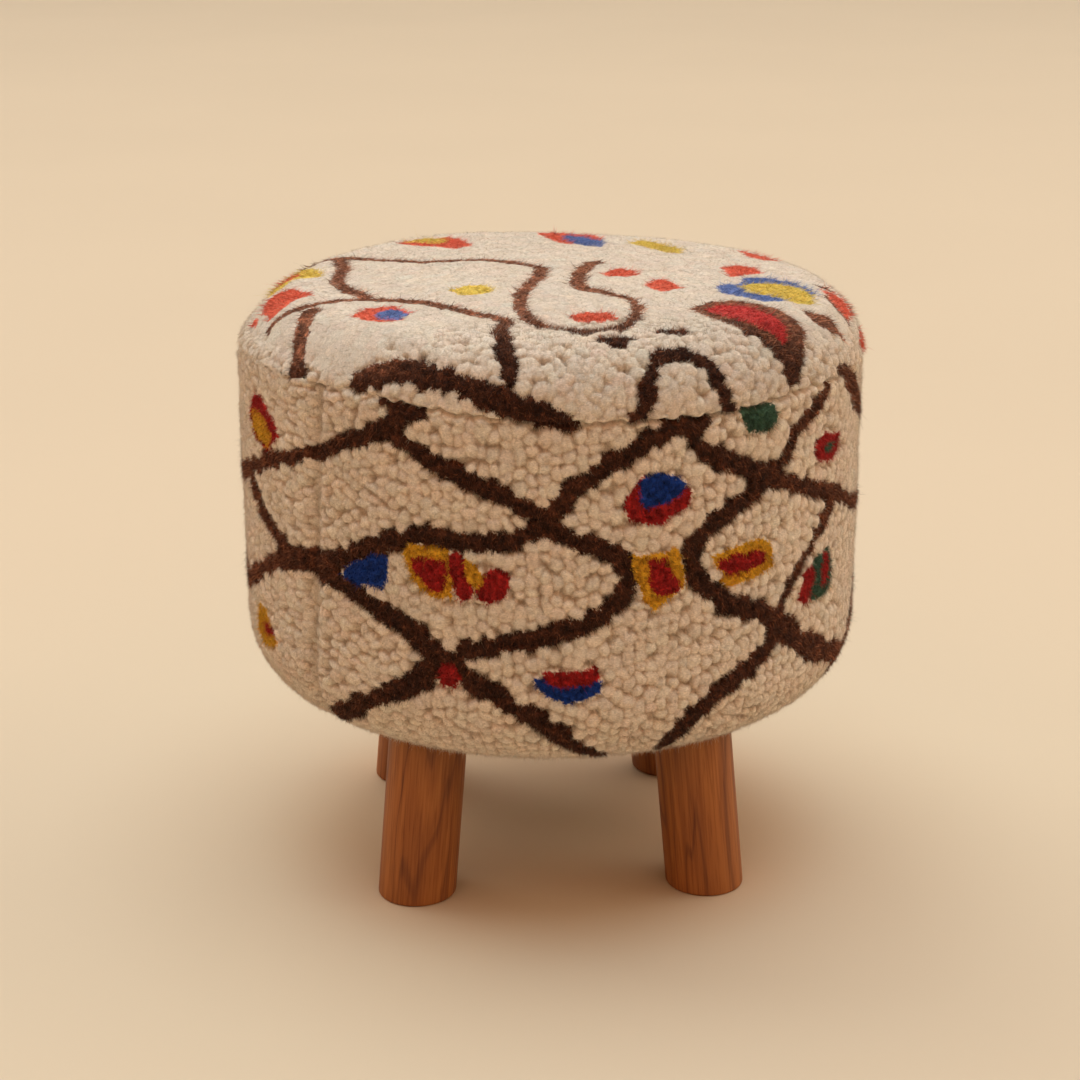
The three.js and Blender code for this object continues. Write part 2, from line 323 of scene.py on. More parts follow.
    def seat_seam_arc(self, azimuth: Array) -> Array:
        """Arc length of the seam between seat and side, which rises towards the left."""
        azimuths, heights = zip(*self.seam_heights)
        return self.arc_at_height(np.interp(np.degrees(azimuth) % 360, azimuths, heights) * MM)

    def side_seam_shift(self, azimuth: Array, arc: Array) -> Array:
        """How far, in radians, the side panels are turned where the slanting seam pulls them.

        Args:
            azimuth: in radians.
            arc: arc length from the axis.

        Returns:
            The turn at each place.
        """
        start, turned = self.lean_angles
        lean = np.radians(start - turned * (arc - self.arc_at_height(self.lean_start)) / self.lean_reach)
        return lean * bell(degrees_off(azimuth, self.seam_azimuth), 0.0, self.lean_width)


@dataclass(frozen=True)
class Mark:
    """A line or a filled motif of the rug.

    Its path is pixels across and down, traced over the photograph. Where traced is False,
    it is azimuth in degrees and height in millimetres. A width of zero makes a filled motif with
    the path as its outline.
    """

    name: str
    panel: Panel
    yarn: Yarn
    width_mm: float
    path: str
    traced: bool = True

    @property
    def points(self) -> Array:
        """The path's points as rows of two."""
        return np.array([point.split(",") for point in self.path.split()], float)


def marks(panel: Panel, table: dict[str, tuple[Yarn, float, str]], traced: bool = True) -> tuple[Mark, ...]:
    """Marks of one panel, later ones over earlier ones, from yarn, width and path by name."""
    return tuple(Mark(name, panel, *row, traced) for name, row in table.items())


SEAT, FRONT, REAR = Panel.SEAT, Panel.FRONT, Panel.REAR
CREAM, BROWN, RED, CORAL = Yarn.CREAM, Yarn.BROWN, Yarn.RED, Yarn.CORAL
YELLOW, BLUE, GREEN = Yarn.YELLOW, Yarn.BLUE, Yarn.GREEN

SEAT_MARKS = marks(SEAT, {
    "back_line": (BROWN, 7.5,
        "302,266 322,260 352,259 385,261 425,262 460,260 481,260 504,262 528,265 542,268"),
    "back_fall": (BROWN, 8.5, "542,268 538,277 528,286 520,296 520,307 526,316 536,322"),
    "hook": (BROWN, 7,
        "536,322 549,326 565,329 586,331 607,329 626,325 635,317 638,307 631,299 615,295 597,291"),
    "hook_end": (BROWN, 10, "597,291 583,289 577,283 579,273 587,266 595,262"),
    "back_branch": (BROWN, 9, "338,259 344,269 336,283 349,291 367,298"),
    "long_line_left": (BROWN, 7, "264,328 272,317 290,308 310,304 335,301 365,300 395,301"),
    "long_line": (BROWN, 8, "395,301 422,303 447,307 465,311 480,314 496,317 508,321"),
    "drop_line": (BROWN, 9, "506,321 499,331 504,342 508,361 510,376"),
    "front_stripe": (BROWN, 14,
        "358,380 372,373 395,369 418,373 441,379 464,386 487,396 510,406 533,413 556,420"),
    "left_hook": (BROWN, 12.5, "310,309 301,322 297,337 294,355 295,371"),
    "dash": (BROWN, 6, "660,330 672,331 683,328"),
    "arch": (BROWN, 7.6,
        "634,420 645,412 650,395 649,376 653,364 662,354 677,351 694,354 707,363 717,375 724,391 "
        "728,405 730,412"),
    "fold": (BROWN, 0,
        "690,308 710,302 732,301 754,303 776,309 795,319 804,332 805,346 802,366 796,382 789,391 "
        "787,378 783,364 774,352 762,342 749,333 731,324 710,316 694,311"),
    "edge_line_outer": (BROWN, 4.5, "816,286 828,290 838,296 846,304 852,315"),
    "edge_line_inner": (BROWN, 4, "826,297 832,304 840,314 848,324"),
    "right_spot": (BROWN, 0, "801,310 815,313 829,317 837,328 845,341 833,332 820,327 811,321"),
    "right_low_spot": (BROWN, 0, "838,365 847,366 857,382 861,399 852,402 845,385"),
    "triangle": (BROWN, 0, "598,335 634,337 625,344 616,348 605,343"),
    "far_left_red": (CORAL, 0, "398,246 412,244 439,242 447,241 460,243 473,247 457,250 433,249 412,248"),
    "far_left_yellow": (YELLOW, 0, "402,245 425,242 444,243 448,246 433,247 417,246"),
    "far_red": (CORAL, 0, "538,233 549,231 562,233 576,232 592,235 602,239 598,244 565,244 549,240"),
    "far_blue": (BLUE, 0, "562,236 581,237 602,241 601,247 589,246 570,243 563,240"),
    "far_yellow": (YELLOW, 0, "628,243 641,240 658,243 681,249 681,253 666,253 644,247"),
    "far_right_red": (CORAL, 0, "736,250 754,250 781,262 765,260 749,256"),
    "near_right_red": (CORAL, 0, "721,268 738,266 754,269 763,274 746,275 732,277 725,273"),
    "blue_ring": (BLUE, 0,
        "716,286 727,283 739,285 743,278 765,278 787,282 804,287 817,294 812,300 798,298 784,300 "
        "765,302 746,298 721,293"),
    "blue_ring_heart": (YELLOW, 0,
        "738,286 754,283 779,284 798,288 813,297 812,304 798,304 782,298 765,295 746,293"),
    "small_red": (CORAL, 0, "603,273 616,268 636,271 637,275 622,276 608,276"),
    "second_red": (CORAL, 0, "645,284 652,280 666,279 681,287 666,291 655,289"),
    "orange_bar": (CORAL, 0, "568,317 585,313 607,313 618,318 602,322 581,322"),
    "yellow_bar": (YELLOW, 0, "450,291 465,286 484,285 495,291 478,295 462,296"),
    "red_bar": (CORAL, 0, "351,316 367,309 395,307 411,313 400,320 385,322 369,321"),
    "red_bar_blue": (BLUE, 0, "374,315 387,310 401,311 408,315 396,320 380,320"),
    "left_yellow": (YELLOW, 0, "264,295 269,285 282,275 301,266 317,269 323,277 305,278 293,278 282,286"),
    "left_orange": (CORAL, 0, "271,284 284,277 301,272 296,276 284,281"),
    "left_coral": (CORAL, 0, "265,317 258,310 262,299 275,291 292,287 313,294 296,297 278,307"),
    "left_tick": (CORAL, 0, "247,324 251,316 254,318 251,326"),
    "right_coral": (CORAL, 0, "821,290 831,294 842,302 850,314 849,322 842,316 833,304"),
    "right_sliver": (CORAL, 0, "858,328 862,330 863,346 859,345"),
    "fold_red": (RED, 0,
        "705,309 718,305 743,306 765,312 779,321 787,331 784,345 775,336 760,327 738,320 716,314"),
})

REAR_MARKS = marks(REAR, {
    "rear_top": (BROWN, 9, "246,470 262,462 280,457 303,454 318,451"),
    "rear_drop": (BROWN, 9, "253,467 255,485 262,508 273,528 284,547 283,557"),
    "rear_knot": (BROWN, 14, "283,556 300,559 318,561"),
    "rear_low": (BROWN, 9, "280,560 264,567 250,579 247,592"),
    "left_diamond": (RED, 0, "254,393 259,394 267,408 274,420 278,436 268,451 257,436 251,412"),
    "left_diamond_heart": (YELLOW, 0, "253,407 260,411 267,422 273,436 269,448 260,437 254,422"),
    "left_low_yellow": (YELLOW, 0, "260,602 266,608 272,625 278,646 266,644 259,626"),
    "left_low_red": (RED, 0, "264,619 270,623 276,635 268,634"),
})

FRONT_MARKS = marks(FRONT, {
    "upper_left": (BROWN, 9, "300,456 329,449 356,440 379,429 400,418 418,409"),
    "upper_tail": (BROWN, 7, "382,398 400,404 418,409"),
    "upper_cross": (BROWN, 8.5, "397,437 418,453 443,469 471,481 498,493 521,505 548,520"),
    "cross_left": (BROWN, 9.5,
        "300,567 329,561 351,553 374,545 397,538 418,535 441,537 464,542 487,545 510,541 533,531 "
        "550,522"),
    "lower_left": (BROWN, 11, "300,560 315,568 329,576 349,588 370,602 388,615 407,627 420,641 433,655"),
    "big_loop": (BROWN, 9,
        "430,658 443,658 464,652 487,650 510,645 543,638 566,631 589,622 612,609 626,592 630,576 "
        "623,560 607,550 584,544 561,535 545,524"),
    "down_left": (BROWN, 12, "436,660 425,676 412,685 394,691 377,697 356,705 337,714"),
    "down_right": (BROWN, 10.5, "440,655 457,665 470,681 489,693 512,706 537,720 562,738 586,750 600,753"),
    "peak_left": (BROWN, 9.5, "550,520 562,501 577,487 597,474 619,461 639,449 658,437 684,420"),
    "peak_right": (BROWN, 9.5, "684,422 697,441 715,455 738,465 768,475"),
    "peak_top": (BROWN, 14, "672,425 686,417 699,424"),
    "right_up": (BROWN, 7.5, "768,477 784,458 796,434 812,413 823,397 829,379"),
    "right_across": (BROWN, 8.5, "765,478 791,482 814,487 837,492 850,500"),
    "right_hollow": (BROWN, 10,
        "768,478 750,496 729,511 711,524 697,540 692,558 694,574 709,588 727,600 750,608 773,615 "
        "790,627"),
    "right_far_drop": (BROWN, 6, "829,508 819,530 808,549 796,572 786,590 779,608"),
    "right_foot": (BROWN, 13, "778,622 798,640 816,648 836,654"),
    "right_foot_end": (BROWN, 9, "836,654 826,669"),
    "right_sweep": (BROWN, 11, "778,622 768,645 754,661 733,680 713,698 694,714 678,730 660,745"),
    "front_stripe_end": (BROWN, 10, "540,416 556,421 570,424"),
    "blue_block": (BLUE, 0,
        "343,573 350,562 364,560 370,553 388,555 388,580 382,590 370,584 356,584 347,579"),
    "yellow_frame": (YELLOW, 0,
        "402,549 411,543 422,545 448,549 452,562 452,597 436,597 422,590 411,576 405,560"),
    "yellow_bend": (YELLOW, 0, "464,558 471,562 481,571 486,582 479,590 468,582 464,570"),
    "first_red": (RED, 0, "410,558 420,556 446,560 447,582 442,593 434,591 422,580 414,570"),
    "second_red": (RED, 0, "449,553 460,552 465,562 466,576 475,588 471,600 459,599 453,587 449,570"),
    "third_red": (RED, 0,
        "490,568 500,569 511,577 508,593 502,600 488,604 476,599 475,589 484,583 487,574"),
    "small_low_red": (RED, 0, "441,663 455,664 462,678 455,688 439,686"),
    "low_blue": (BLUE, 0, "533,680 543,678 602,681 600,692 586,699 565,704 551,699 541,693"),
    "low_red": (RED, 0, "543,671 562,673 598,667 601,678 590,685 565,688 544,683"),
    "eye_ring": (RED, 0,
        "624,504 634,487 643,476 660,480 690,488 692,493 688,506 672,516 661,525 645,524 629,521"),
    "eye_heart": (BLUE, 0, "638,483 648,475 658,472 680,477 687,484 680,495 664,503 647,508 640,501"),
    "shield": (YELLOW, 0,
        "631,553 638,555 669,552 673,546 680,548 683,569 685,585 674,596 661,605 655,611 644,601 "
        "637,582 632,566"),
    "shield_heart": (RED, 0, "646,558 668,557 670,569 680,582 680,592 664,596 653,593 648,582 649,569"),
    "right_yellow": (YELLOW, 0,
        "711,554 722,553 741,544 757,538 770,541 772,556 773,567 759,575 743,581 727,587 719,582 "
        "726,575 716,566"),
    "right_yellow_red": (RED, 0, "717,561 733,553 757,549 766,551 765,561 749,569 728,575 720,569"),
    "right_green": (GREEN, 0, "810,564 820,553 828,547 831,567 829,588 818,599 808,600"),
    "right_green_red": (RED, 0, "812,563 814,572 810,591 805,605 798,601 801,585 806,569"),
    "right_green_red_edge": (RED, 0, "822,551 826,552 828,567 825,583 820,585 820,567"),
    "right_low_spot_end": (BROWN, 0, "838,365 847,366 857,382 861,399 852,402 845,385"),
    "green_knot": (GREEN, 0, "740,410 752,402 774,403 778,416 770,430 748,432"),
    "right_high_red": (RED, 0, "814,446 824,433 838,432 837,448 828,461 816,460"),
    "right_high_green": (GREEN, 0, "823,446 831,440 832,447 826,453"),
    "right_sliver_red": (RED, 0, "852,562 855,560 856,590 853,590"),
})

HIDDEN_REAR_MARKS = marks(REAR, {
    "hidden_high_a": (BROWN, 9, "36,305 52,285 68,262 84,246"),
    "hidden_high_b": (BROWN, 9, "84,246 100,262 116,284 132,308 142,330"),
    "hidden_low_a": (BROWN, 10, "36,205 52,220 68,238 84,246"),
    "hidden_low_b": (BROWN, 10, "84,246 98,226 112,204 126,186 140,172"),
    "hidden_far_a": (BROWN, 9, "140,172 152,190 164,212 176,203 187,196"),
    "hidden_far_b": (BROWN, 9, "142,330 154,312 166,298 176,280 187,263"),
    "hidden_far_c": (BROWN, 9, "116,284 130,268 144,252 158,236 170,222"),
    "hidden_foot": (BROWN, 10, "60,150 74,168 88,182 102,188 112,204"),
    "hidden_red_a": (RED, 0, "56,246 62,256 70,246 63,234"),
    "hidden_yellow_a": (YELLOW, 0, "59,246 63,251 67,246 63,240"),
    "hidden_blue_b": (BLUE, 0, "104,300 112,314 120,326 108,330 98,318"),
    "hidden_red_c": (RED, 0, "128,226 136,238 148,230 144,214 133,210"),
    "hidden_yellow_c": (YELLOW, 0, "133,224 139,230 144,224 139,217"),
    "hidden_green_d": (GREEN, 0, "160,264 170,272 178,264 172,252 163,254"),
    "hidden_coral_d": (CORAL, 0, "165,263 170,266 174,262 169,258"),
    "hidden_red_e": (RED, 0, "86,214 92,220 98,210 91,202"),
}, traced=False)

HIDDEN_FRONT_MARKS = marks(FRONT, {
    "hidden_right_a": (BROWN, 9, "337,251 346,246 358,240 370,226 380,212 399,200"),
    "hidden_right_b": (BROWN, 9, "337,152 346,176 358,204 370,226 384,246 399,262"),
    "hidden_right_c": (BROWN, 9, "353,290 368,288 384,282 399,276"),
    "hidden_blue_e": (BLUE, 0, "372,250 380,262 388,254 381,240"),
    "hidden_red_f": (RED, 0, "354,184 364,190 374,182 365,172"),
    "hidden_yellow_f": (YELLOW, 0, "359,184 365,187 370,182 365,177"),
}, traced=False)


@dataclass(frozen=True)
class FlatMark:
    """A mark laid out in its panel's flat coordinates."""

    yarn: Yarn
    width: float
    points: Array
    tiny: float = 1e-12

    def gap(self, places: Array) -> Array:
        """Signed distance of flat places to the mark, negative inside it.

        Args:
            places: flat places as rows.

        Returns:
            One distance for each place.
        """
        starts = self.points
        ends = np.roll(starts, -1, axis=0)
        if self.width > 0:
            starts, ends = starts[:-1], ends[:-1]
        best = np.full(len(places), np.inf)
        inside = np.zeros(len(places), bool)
        for start, end in zip(starts, ends):
            along = end - start
            share = np.clip((places - start) @ along / max(along @ along, self.tiny), 0, 1)
            off = places - start - share[:, None] * along
            best = np.minimum(best, np.hypot(off[:, 0], off[:, 1]))
            if self.width == 0:
                crosses = (start[1] > places[:, 1]) != (end[1] > places[:, 1])
                rise = along[1] if abs(along[1]) > self.tiny else self.tiny
                at = start[0] + (places[:, 1] - start[1]) / rise * along[0]
                inside ^= crosses & (places[:, 0] < at)
        if self.width > 0:
            return best - self.width / 2
        return np.where(inside, -best, best)


@dataclass
class RugPattern:
    """The rug's lines and motifs on the seat and side panels.

    The seat is laid out flat round its middle. The side is laid out as distance round the drum
    from the hidden seam, and arc length from the drum's axis.
    """

    drum: DrumShape
    camera: PhotoCamera
    seat_depth: float = 1.2 * MM
    side_depth: float = 2.0 * MM
    line_scale: float = 0.98
    margin: float = 8 * MM
    far: float = 1.0

    @property
    def hidden_seam(self) -> float:
        """Azimuth of the seam behind, in degrees."""
        return (self.drum.seam_azimuth + 180) % 360

    def side_place(self, azimuth: Array, arc: Array) -> Array:
        """Flat side coordinates of azimuths in degrees and arc lengths.

        Args:
            azimuth: in degrees.
            arc: arc length from the drum's axis.

        Returns:
            Rows of distance round the drum and arc length.
        """
        turned = azimuth - np.degrees(self.drum.side_seam_shift(np.radians(azimuth), arc))
        round_drum = np.radians((turned - self.hidden_seam) % 360) * self.drum.radius
        return np.stack([round_drum, arc], axis=1)

    def flatten(self, mark: Mark) -> FlatMark:
        """Lays a mark out in its panel's flat coordinates.

        Args:
            mark: a mark as it was drawn.

        Returns:
            The mark in flat lengths.
        """
        points = mark.points
        if mark.traced:
            depth = self.seat_depth if mark.panel is Panel.SEAT else self.side_depth
            hits = self.drum.hit(self.camera.place, self.camera.rays(points), depth)
            azimuth, arc = self.drum.unroll(hits)
        else:
            start = self.hidden_seam if mark.panel is Panel.REAR else self.hidden_seam + 180
            azimuth = np.clip(points[:, 0], start + 0.1, start + 179.9)
            arc = self.drum.arc_at_height(points[:, 1] * MM)
        if mark.panel is Panel.SEAT:
            flat = polar(arc, np.radians(azimuth))
        else:
            flat = self.side_place(azimuth, arc)
        return FlatMark(mark.yarn, mark.width_mm * self.line_scale * MM, flat)

    def yarns(self, places: Array, marks: tuple[Mark, ...]) -> tuple[Array, Array]:
        """Which yarn a place of the rug has.

        Args:
            places: flat places as rows.
            marks: the marks, later ones over earlier ones.

        Returns:
            Index of the yarn, and the distance to the nearest mark of another yarn.
        """
        yarn = np.zeros(len(places), int)
        clear = np.full(len(places), self.far)
        half = math.pi * self.drum.radius
        for mark in marks:
            flat = self.flatten(mark)
            reach = flat.width + self.margin
            low, high = flat.points.min(axis=0) - reach, flat.points.max(axis=0) + reach
            near = ((places > low) & (places < high)).all(axis=1)
            if mark.panel is Panel.FRONT:
                near &= places[:, 0] >= half
            elif mark.panel is Panel.REAR:
                near &= places[:, 0] < half
            gap = np.full(len(places), self.far)
            gap[near] = flat.gap(places[near])
            index = mark.yarn.number
            inside = gap < 0
            same = yarn == index
            clear = np.where(inside & ~same, -gap, np.where(inside, np.maximum(clear, -gap), clear))
            clear = np.where(~inside & ~same, np.minimum(clear, gap), clear)
            yarn[inside] = index
        return yarn, clear


@dataclass(frozen=True)
class TuftStyle:
    """Sizes of the tufts of one kind of yarn, in millimetres."""

    spacing: float
    reach: float
    rise: float
    sink: float
    margin: float


CREAM_TUFTS = TuftStyle(spacing=6.5, reach=5.4, rise=3.9, sink=0.4, margin=2.3)
LINE_TUFTS = TuftStyle(spacing=3.2, reach=2.7, rise=2.2, sink=1.0, margin=0.1)
MOTIF_TUFTS = TuftStyle(spacing=3.8, reach=3.0, rise=2.2, sink=0.7, margin=0.1)


def soft_noise(shape: tuple[int, int], cell: float, rng: np.random.Generator) -> Array:
    """Smooth random field from -1 to 1.

    Args:
        shape: rows and columns.
        cell: size of its features in cells of the grid.
        rng: where the random numbers come from.

    Returns:
        The field.
    """
    rows, columns = (int(n / cell) + 4 for n in shape)
    coarse = rng.uniform(-1, 1, (rows, columns))
    at = [np.arange(n) / cell + 0.5 for n in shape]
    low = [a.astype(int) for a in at]
    share = [a - b for a, b in zip(at, low)]
    ease = [s * s * (3 - 2 * s) for s in share]
    top = coarse[low[0]][:, low[1]] * (1 - ease[1]) + coarse[low[0]][:, low[1] + 1] * ease[1]
    bottom = coarse[low[0] + 1][:, low[1]] * (1 - ease[1]) + coarse[low[0] + 1][:, low[1] + 1] * ease[1]
    return top * (1 - ease[0])[:, None] + bottom * ease[0][:, None]


@dataclass
class PileMap:
    """Depth and colour of the pile over one flat panel, on a fine grid.

    Tufts are rounded heads that press against each other, so creases run between them; the crease and shade
    masks kept here are used for painted shade in the colour.
    Warps, lumps and mottles are layers of noise, by feature size in cells and height.
    """

    low: Pair
    high: Pair
    seed: int
    stretch_at: Callable[[Array], Array]
    in_columns: bool
    pitch: float = 0.5 * MM
    blend: float = 0.25 * MM
    deepest: float = 5.0 * MM
    tuft_sizes: Pair = (0.82, 1.12)
    row_gaps: Pair = (1.10, 0.9)
    column_stray: Pair = (0.09, 0.13)
    row_stray: Pair = (0.17, 0.17)
    reach_spread: float = 0.13
    stretch_spread: float = 0.12
    turned: float = 1.5
    head_power: float = 1.65
    head_reach: float = 2.3
    shade_depth: float = 2.2 * MM
    crease_width: float = 0.45 * MM
    crease_depth: float = 0.5 * MM
    warps: tuple[Pair, ...] = ((8, 1.0 * MM), (2.6, 0.45 * MM))
    lumps: tuple[Pair, ...] = ((6, 0.26 * MM), (2.6, 0.18 * MM))
    mottles: tuple[Pair, ...] = ((2.6, 0.6), (6, 0.6))
    swell_cell: float = 90
    swell: float = 0.6 * MM

    def __post_init__(self) -> None:
        """Makes the empty grid."""
        self.rng = np.random.default_rng(self.seed)
        self.across = np.arange(self.low[0], self.high[0], self.pitch)
        self.down = np.arange(self.low[1], self.high[1], self.pitch)
        shape = (len(self.down), len(self.across))
        self.depth = np.zeros(shape)
        self.owner = np.zeros(shape, np.int32)
        self.places = np.zeros((0, 2))
        self.tuft_yarn = np.zeros(0, int)

    def choose(self, marks_at: Callable[[Array], tuple[Array, Array]], wild: int) -> None:
        """Chooses where the tufts stand, lines and motifs first.

        Args:
            marks_at: gives yarn index and clear distance of flat places.
            wild: number of random places tried to fill the gaps between rows.
        """
        blocked = np.zeros(self.depth.shape, bool)
        fine_blocked = np.zeros(self.depth.shape, bool)
        found: list[tuple[float, float, int]] = []
        for style, kinds in ((LINE_TUFTS, (BROWN,)), (MOTIF_TUFTS, (RED, CORAL, YELLOW, BLUE, GREEN)),
                             (CREAM_TUFTS, (CREAM,))):
            wanted = [kind.number for kind in kinds]
            tries = np.concatenate([self.rows(style), self.scatter(wild)])
            yarn, clear = marks_at(tries)
            keep = np.isin(yarn, wanted) & (clear > style.margin * MM)
            mask = blocked if kinds == (CREAM,) else fine_blocked
            stretch = self.stretch_at(tries[keep])
            for place, kind, longer in zip(tries[keep], yarn[keep], stretch):
                column, row = self.cell(place)
                if mask[row, column]:
                    continue
                found.append((place[0], place[1], kind))
                size = self.rng.uniform(*self.tuft_sizes) * style.spacing * MM
                self.block(fine_blocked, row, column, size, size)
                size = (size + CREAM_TUFTS.spacing * MM) / 2
                self.block(blocked, row, column, size * longer, size / longer)
        table = np.array(found)
        self.places, self.tuft_yarn = table[:, :2], table[:, 2].astype(int)

    def rows(self, style: TuftStyle) -> Array:
        """Places in loosely kept rows, as a knotter ties them.

        Args:
            style: the tufts that stand in the rows.

        Returns:
            Flat places as rows.
        """
        wide, tall = self.row_gaps
        gap = style.spacing * wide * MM
        count = [int((h - l) / (gap * f)) + 1 for l, h, f in zip(self.low, self.high, (1.0, tall))]
        row, column = np.meshgrid(np.arange(count[1]), np.arange(count[0]), indexing="ij")
        if self.in_columns:
            start = self.rng.uniform(0, 1, count[0])[column]
            across, down, stray = column * gap, (row + start) * gap * tall, self.column_stray
        else:
            across, down, stray = (column + 0.5 * (row % 2)) * gap, row * gap * tall, self.row_stray
        places = np.stack([across.ravel(), down.ravel()], axis=1) + self.low
        return places + self.rng.normal(0, 1, places.shape) * stray * gap

    def scatter(self, count: int) -> Array:
        """Random places all over the panel."""
        return self.rng.uniform(self.low, self.high, (count, 2))

    def cell(self, place: Array) -> tuple[int, int]:
        """Column and row of a place, kept on the grid.

        Args:
            place: a flat place.

        Returns:
            Column and row.
        """
        at = (place - self.low) / self.pitch
        return tuple(int(min(max(a, 0), len(cells) - 1)) for a, cells in zip(at, (self.across, self.down)))

    def block(self, mask: Array, row: int, column: int, across: float, down: float) -> None:
        """Marks the cells within an oval, given by its half sizes, as taken.

        Args:
            mask: the cells taken so far, which it changes.
            row: the oval's middle row.
            column: the oval's middle column.
            across: half width.
            down: half height.
        """
        n, m = int(down / self.pitch), int(across / self.pitch)
        top, left = max(row - n, 0), max(column - m, 0)
        part = mask[top: row + n + 1, left: column + m + 1]
        rows = np.arange(top, top + part.shape[0])[:, None] - row
        columns = np.arange(left, left + part.shape[1])[None, :] - column
        part |= (rows / n) ** 2 + (columns / m) ** 2 < 1

    def paint(self, lean: Array, softness: Array) -> None:
        """Raises every tuft's head until it meets its neighbours.

        Args:
            lean: flat direction in which each tuft droops, zero where it stands upright.
            softness: from 0, crisp heads, to 1, heads brushed into each other.
        """
        shape = self.depth.shape
        warp = [self.noises(self.warps) for _ in range(2)]
        styles = [LINE_TUFTS if y is BROWN else CREAM_TUFTS if y is CREAM else MOTIF_TUFTS for y in YARNS]
        count = len(self.places)
        reach, rise, sink = (np.array([getattr(styles[y], key) for y in self.tuft_yarn]) * MM
                             for key in ("reach", "rise", "sink"))
        reach = reach * self.rng.lognormal(0, self.reach_spread, count)
        rise = rise * (1 - 0.92 * softness)
        sink = sink + self.rng.uniform(0, 0.8 * MM, count) * (1 - 0.85 * softness)
        longer = self.stretch_at(self.places)
        stretch = self.rng.lognormal(0.0, self.stretch_spread, count) * longer
        wide, tall = reach * stretch, reach / stretch
        turn = self.rng.uniform(-self.turned, self.turned, count) * np.where(longer > 1.05, 0.2, 1.0)
        cos, sin = np.cos(turn), np.sin(turn)
        first, second = np.full(shape, -1.0), np.full(shape, -1.0)
        for i in range(count):
            column, row = self.cell(self.places[i])
            n = int(self.head_reach * max(wide[i], tall[i]) / self.pitch)
            box = (slice(max(row - n, 0), row + n + 1), slice(max(column - n, 0), column + n + 1))
            x = self.across[box[1]][None, :] + warp[0][box] - self.places[i, 0]
            y = self.down[box[0]][:, None] + warp[1][box] - self.places[i, 1]
            away = ((x * cos[i] + y * sin[i]) / wide[i]) ** 2 + ((y * cos[i] - x * sin[i]) / tall[i]) ** 2
            tilt = (x * lean[i, 0] + y * lean[i, 1]) / reach[i]
            height = -sink[i] - rise[i] * away**self.head_power * (1 - 0.25 * np.clip(tilt, -1, 1))
            highest, next_highest, owner = first[box], second[box], self.owner[box]
            higher = height > highest
            next_highest[:] = np.where(higher, highest, np.maximum(next_highest, height))
            owner[higher] = i
            highest[higher] = height[higher]
        step = first - second
        first = np.maximum(first, -self.deepest)
        self.depth = -(first + np.log1p(np.exp(-step / self.blend)) * self.blend)
        # Masks for painted shade: how far a place lies below its tuft's top, and how near it is to a
        # crease.
        fallen = (-first - sink[self.owner]) / self.shade_depth
        self.shade = np.clip(fallen, 0, 1) ** 1.3
        self.crease = np.exp(-step / self.crease_width) * np.clip(fallen * 1.6, 0, 1)
        self.crisp = 1 - softness[self.owner]

    def roughen(self) -> None:
        """Adds creases between the heads, wool-scale lumps and the rug's slow unevenness."""
        self.depth += self.crease * self.crease_depth
        self.depth += self.noises(self.lumps) * (0.35 + 0.65 * self.crisp)
        self.depth += (self.noises(((self.swell_cell, 1.0),)) + 1) * self.swell
        self.depth = np.maximum(self.depth, 0.0)
        self.mottle = self.noises(self.mottles)

    def noises(self, layers: tuple[Pair, ...]) -> Array:
        """Sum of smooth random fields over the grid, each given by feature size in cells and height."""
        return sum(soft_noise(self.depth.shape, cell, self.rng) * height for cell, height in layers)

    def sample(self, field_name: str, places: Array) -> Array:
        """Values of a stored field at flat places, blended between cells.

        Args:
            field_name: the grid that is read.
            places: flat places.

        Returns:
            One value for each place.
        """
        grid = getattr(self, field_name)
        at = (places - np.array(self.low)) / self.pitch
        column = np.clip(at[..., 0], 0, grid.shape[1] - 1.001)
        row = np.clip(at[..., 1], 0, grid.shape[0] - 1.001)
        left, top = column.astype(int), row.astype(int)
        x, y = column - left, row - top
        if grid.dtype.kind == "i":
            return grid[top + (y > 0.5), left + (x > 0.5)]
        upper = grid[top, left] * (1 - x) + grid[top, left + 1] * x
        lower = grid[top + 1, left] * (1 - x) + grid[top + 1, left + 1] * x
        return upper * (1 - y) + lower * y


@dataclass
class DrawnMap:
    """The pattern as drawn, without its tufts, with softly frayed borders."""

    pile: PileMap
    pattern: RugPattern
    marks: tuple[Mark, ...]
    fray: Pair = (1.3 * MM, 0.7 * MM)

    def __post_init__(self) -> None:
        """Looks the pattern up on the pile's grid."""
        shape = self.pile.depth.shape
        rng = np.random.default_rng(self.pile.seed + 50)
        down, across = np.meshgrid(self.pile.down, self.pile.across, indexing="ij")
        places = np.stack([across, down], axis=-1)
        for axis, fray in enumerate(self.fray):
            places[..., axis] += (soft_noise(shape, 5, rng) + soft_noise(shape, 2, rng)) * fray
        yarn, _ = self.pattern.yarns(places.reshape(-1, 2), self.marks)
        self.yarn = yarn.reshape(shape)

    def sample(self, places: Array) -> Array:
        """Yarn drawn at flat places.

        Args:
            places: flat places.

        Returns:
            Index of the yarn at each place.
        """
        low, pitch = np.array(self.pile.low), self.pile.pitch
        at = ((places - low) / pitch + 0.5).astype(int)
        row = np.clip(at[..., 1], 0, self.yarn.shape[0] - 1)
        return self.yarn[row, np.clip(at[..., 0], 0, self.yarn.shape[1] - 1)]


def grid_faces(rows: int, columns: int) -> Array:
    """Corner numbers of the four-sided faces of a grid of points.

    Args:
        rows: number of rows of points.
        columns: number of points in a row.

    Returns:
        Four corner numbers in each row.
    """
    i, j = np.meshgrid(np.arange(rows - 1), np.arange(columns - 1), indexing="ij")
    first = (i * columns + j).ravel()
    return np.stack([first, first + columns, first + columns + 1, first + 1], axis=1)


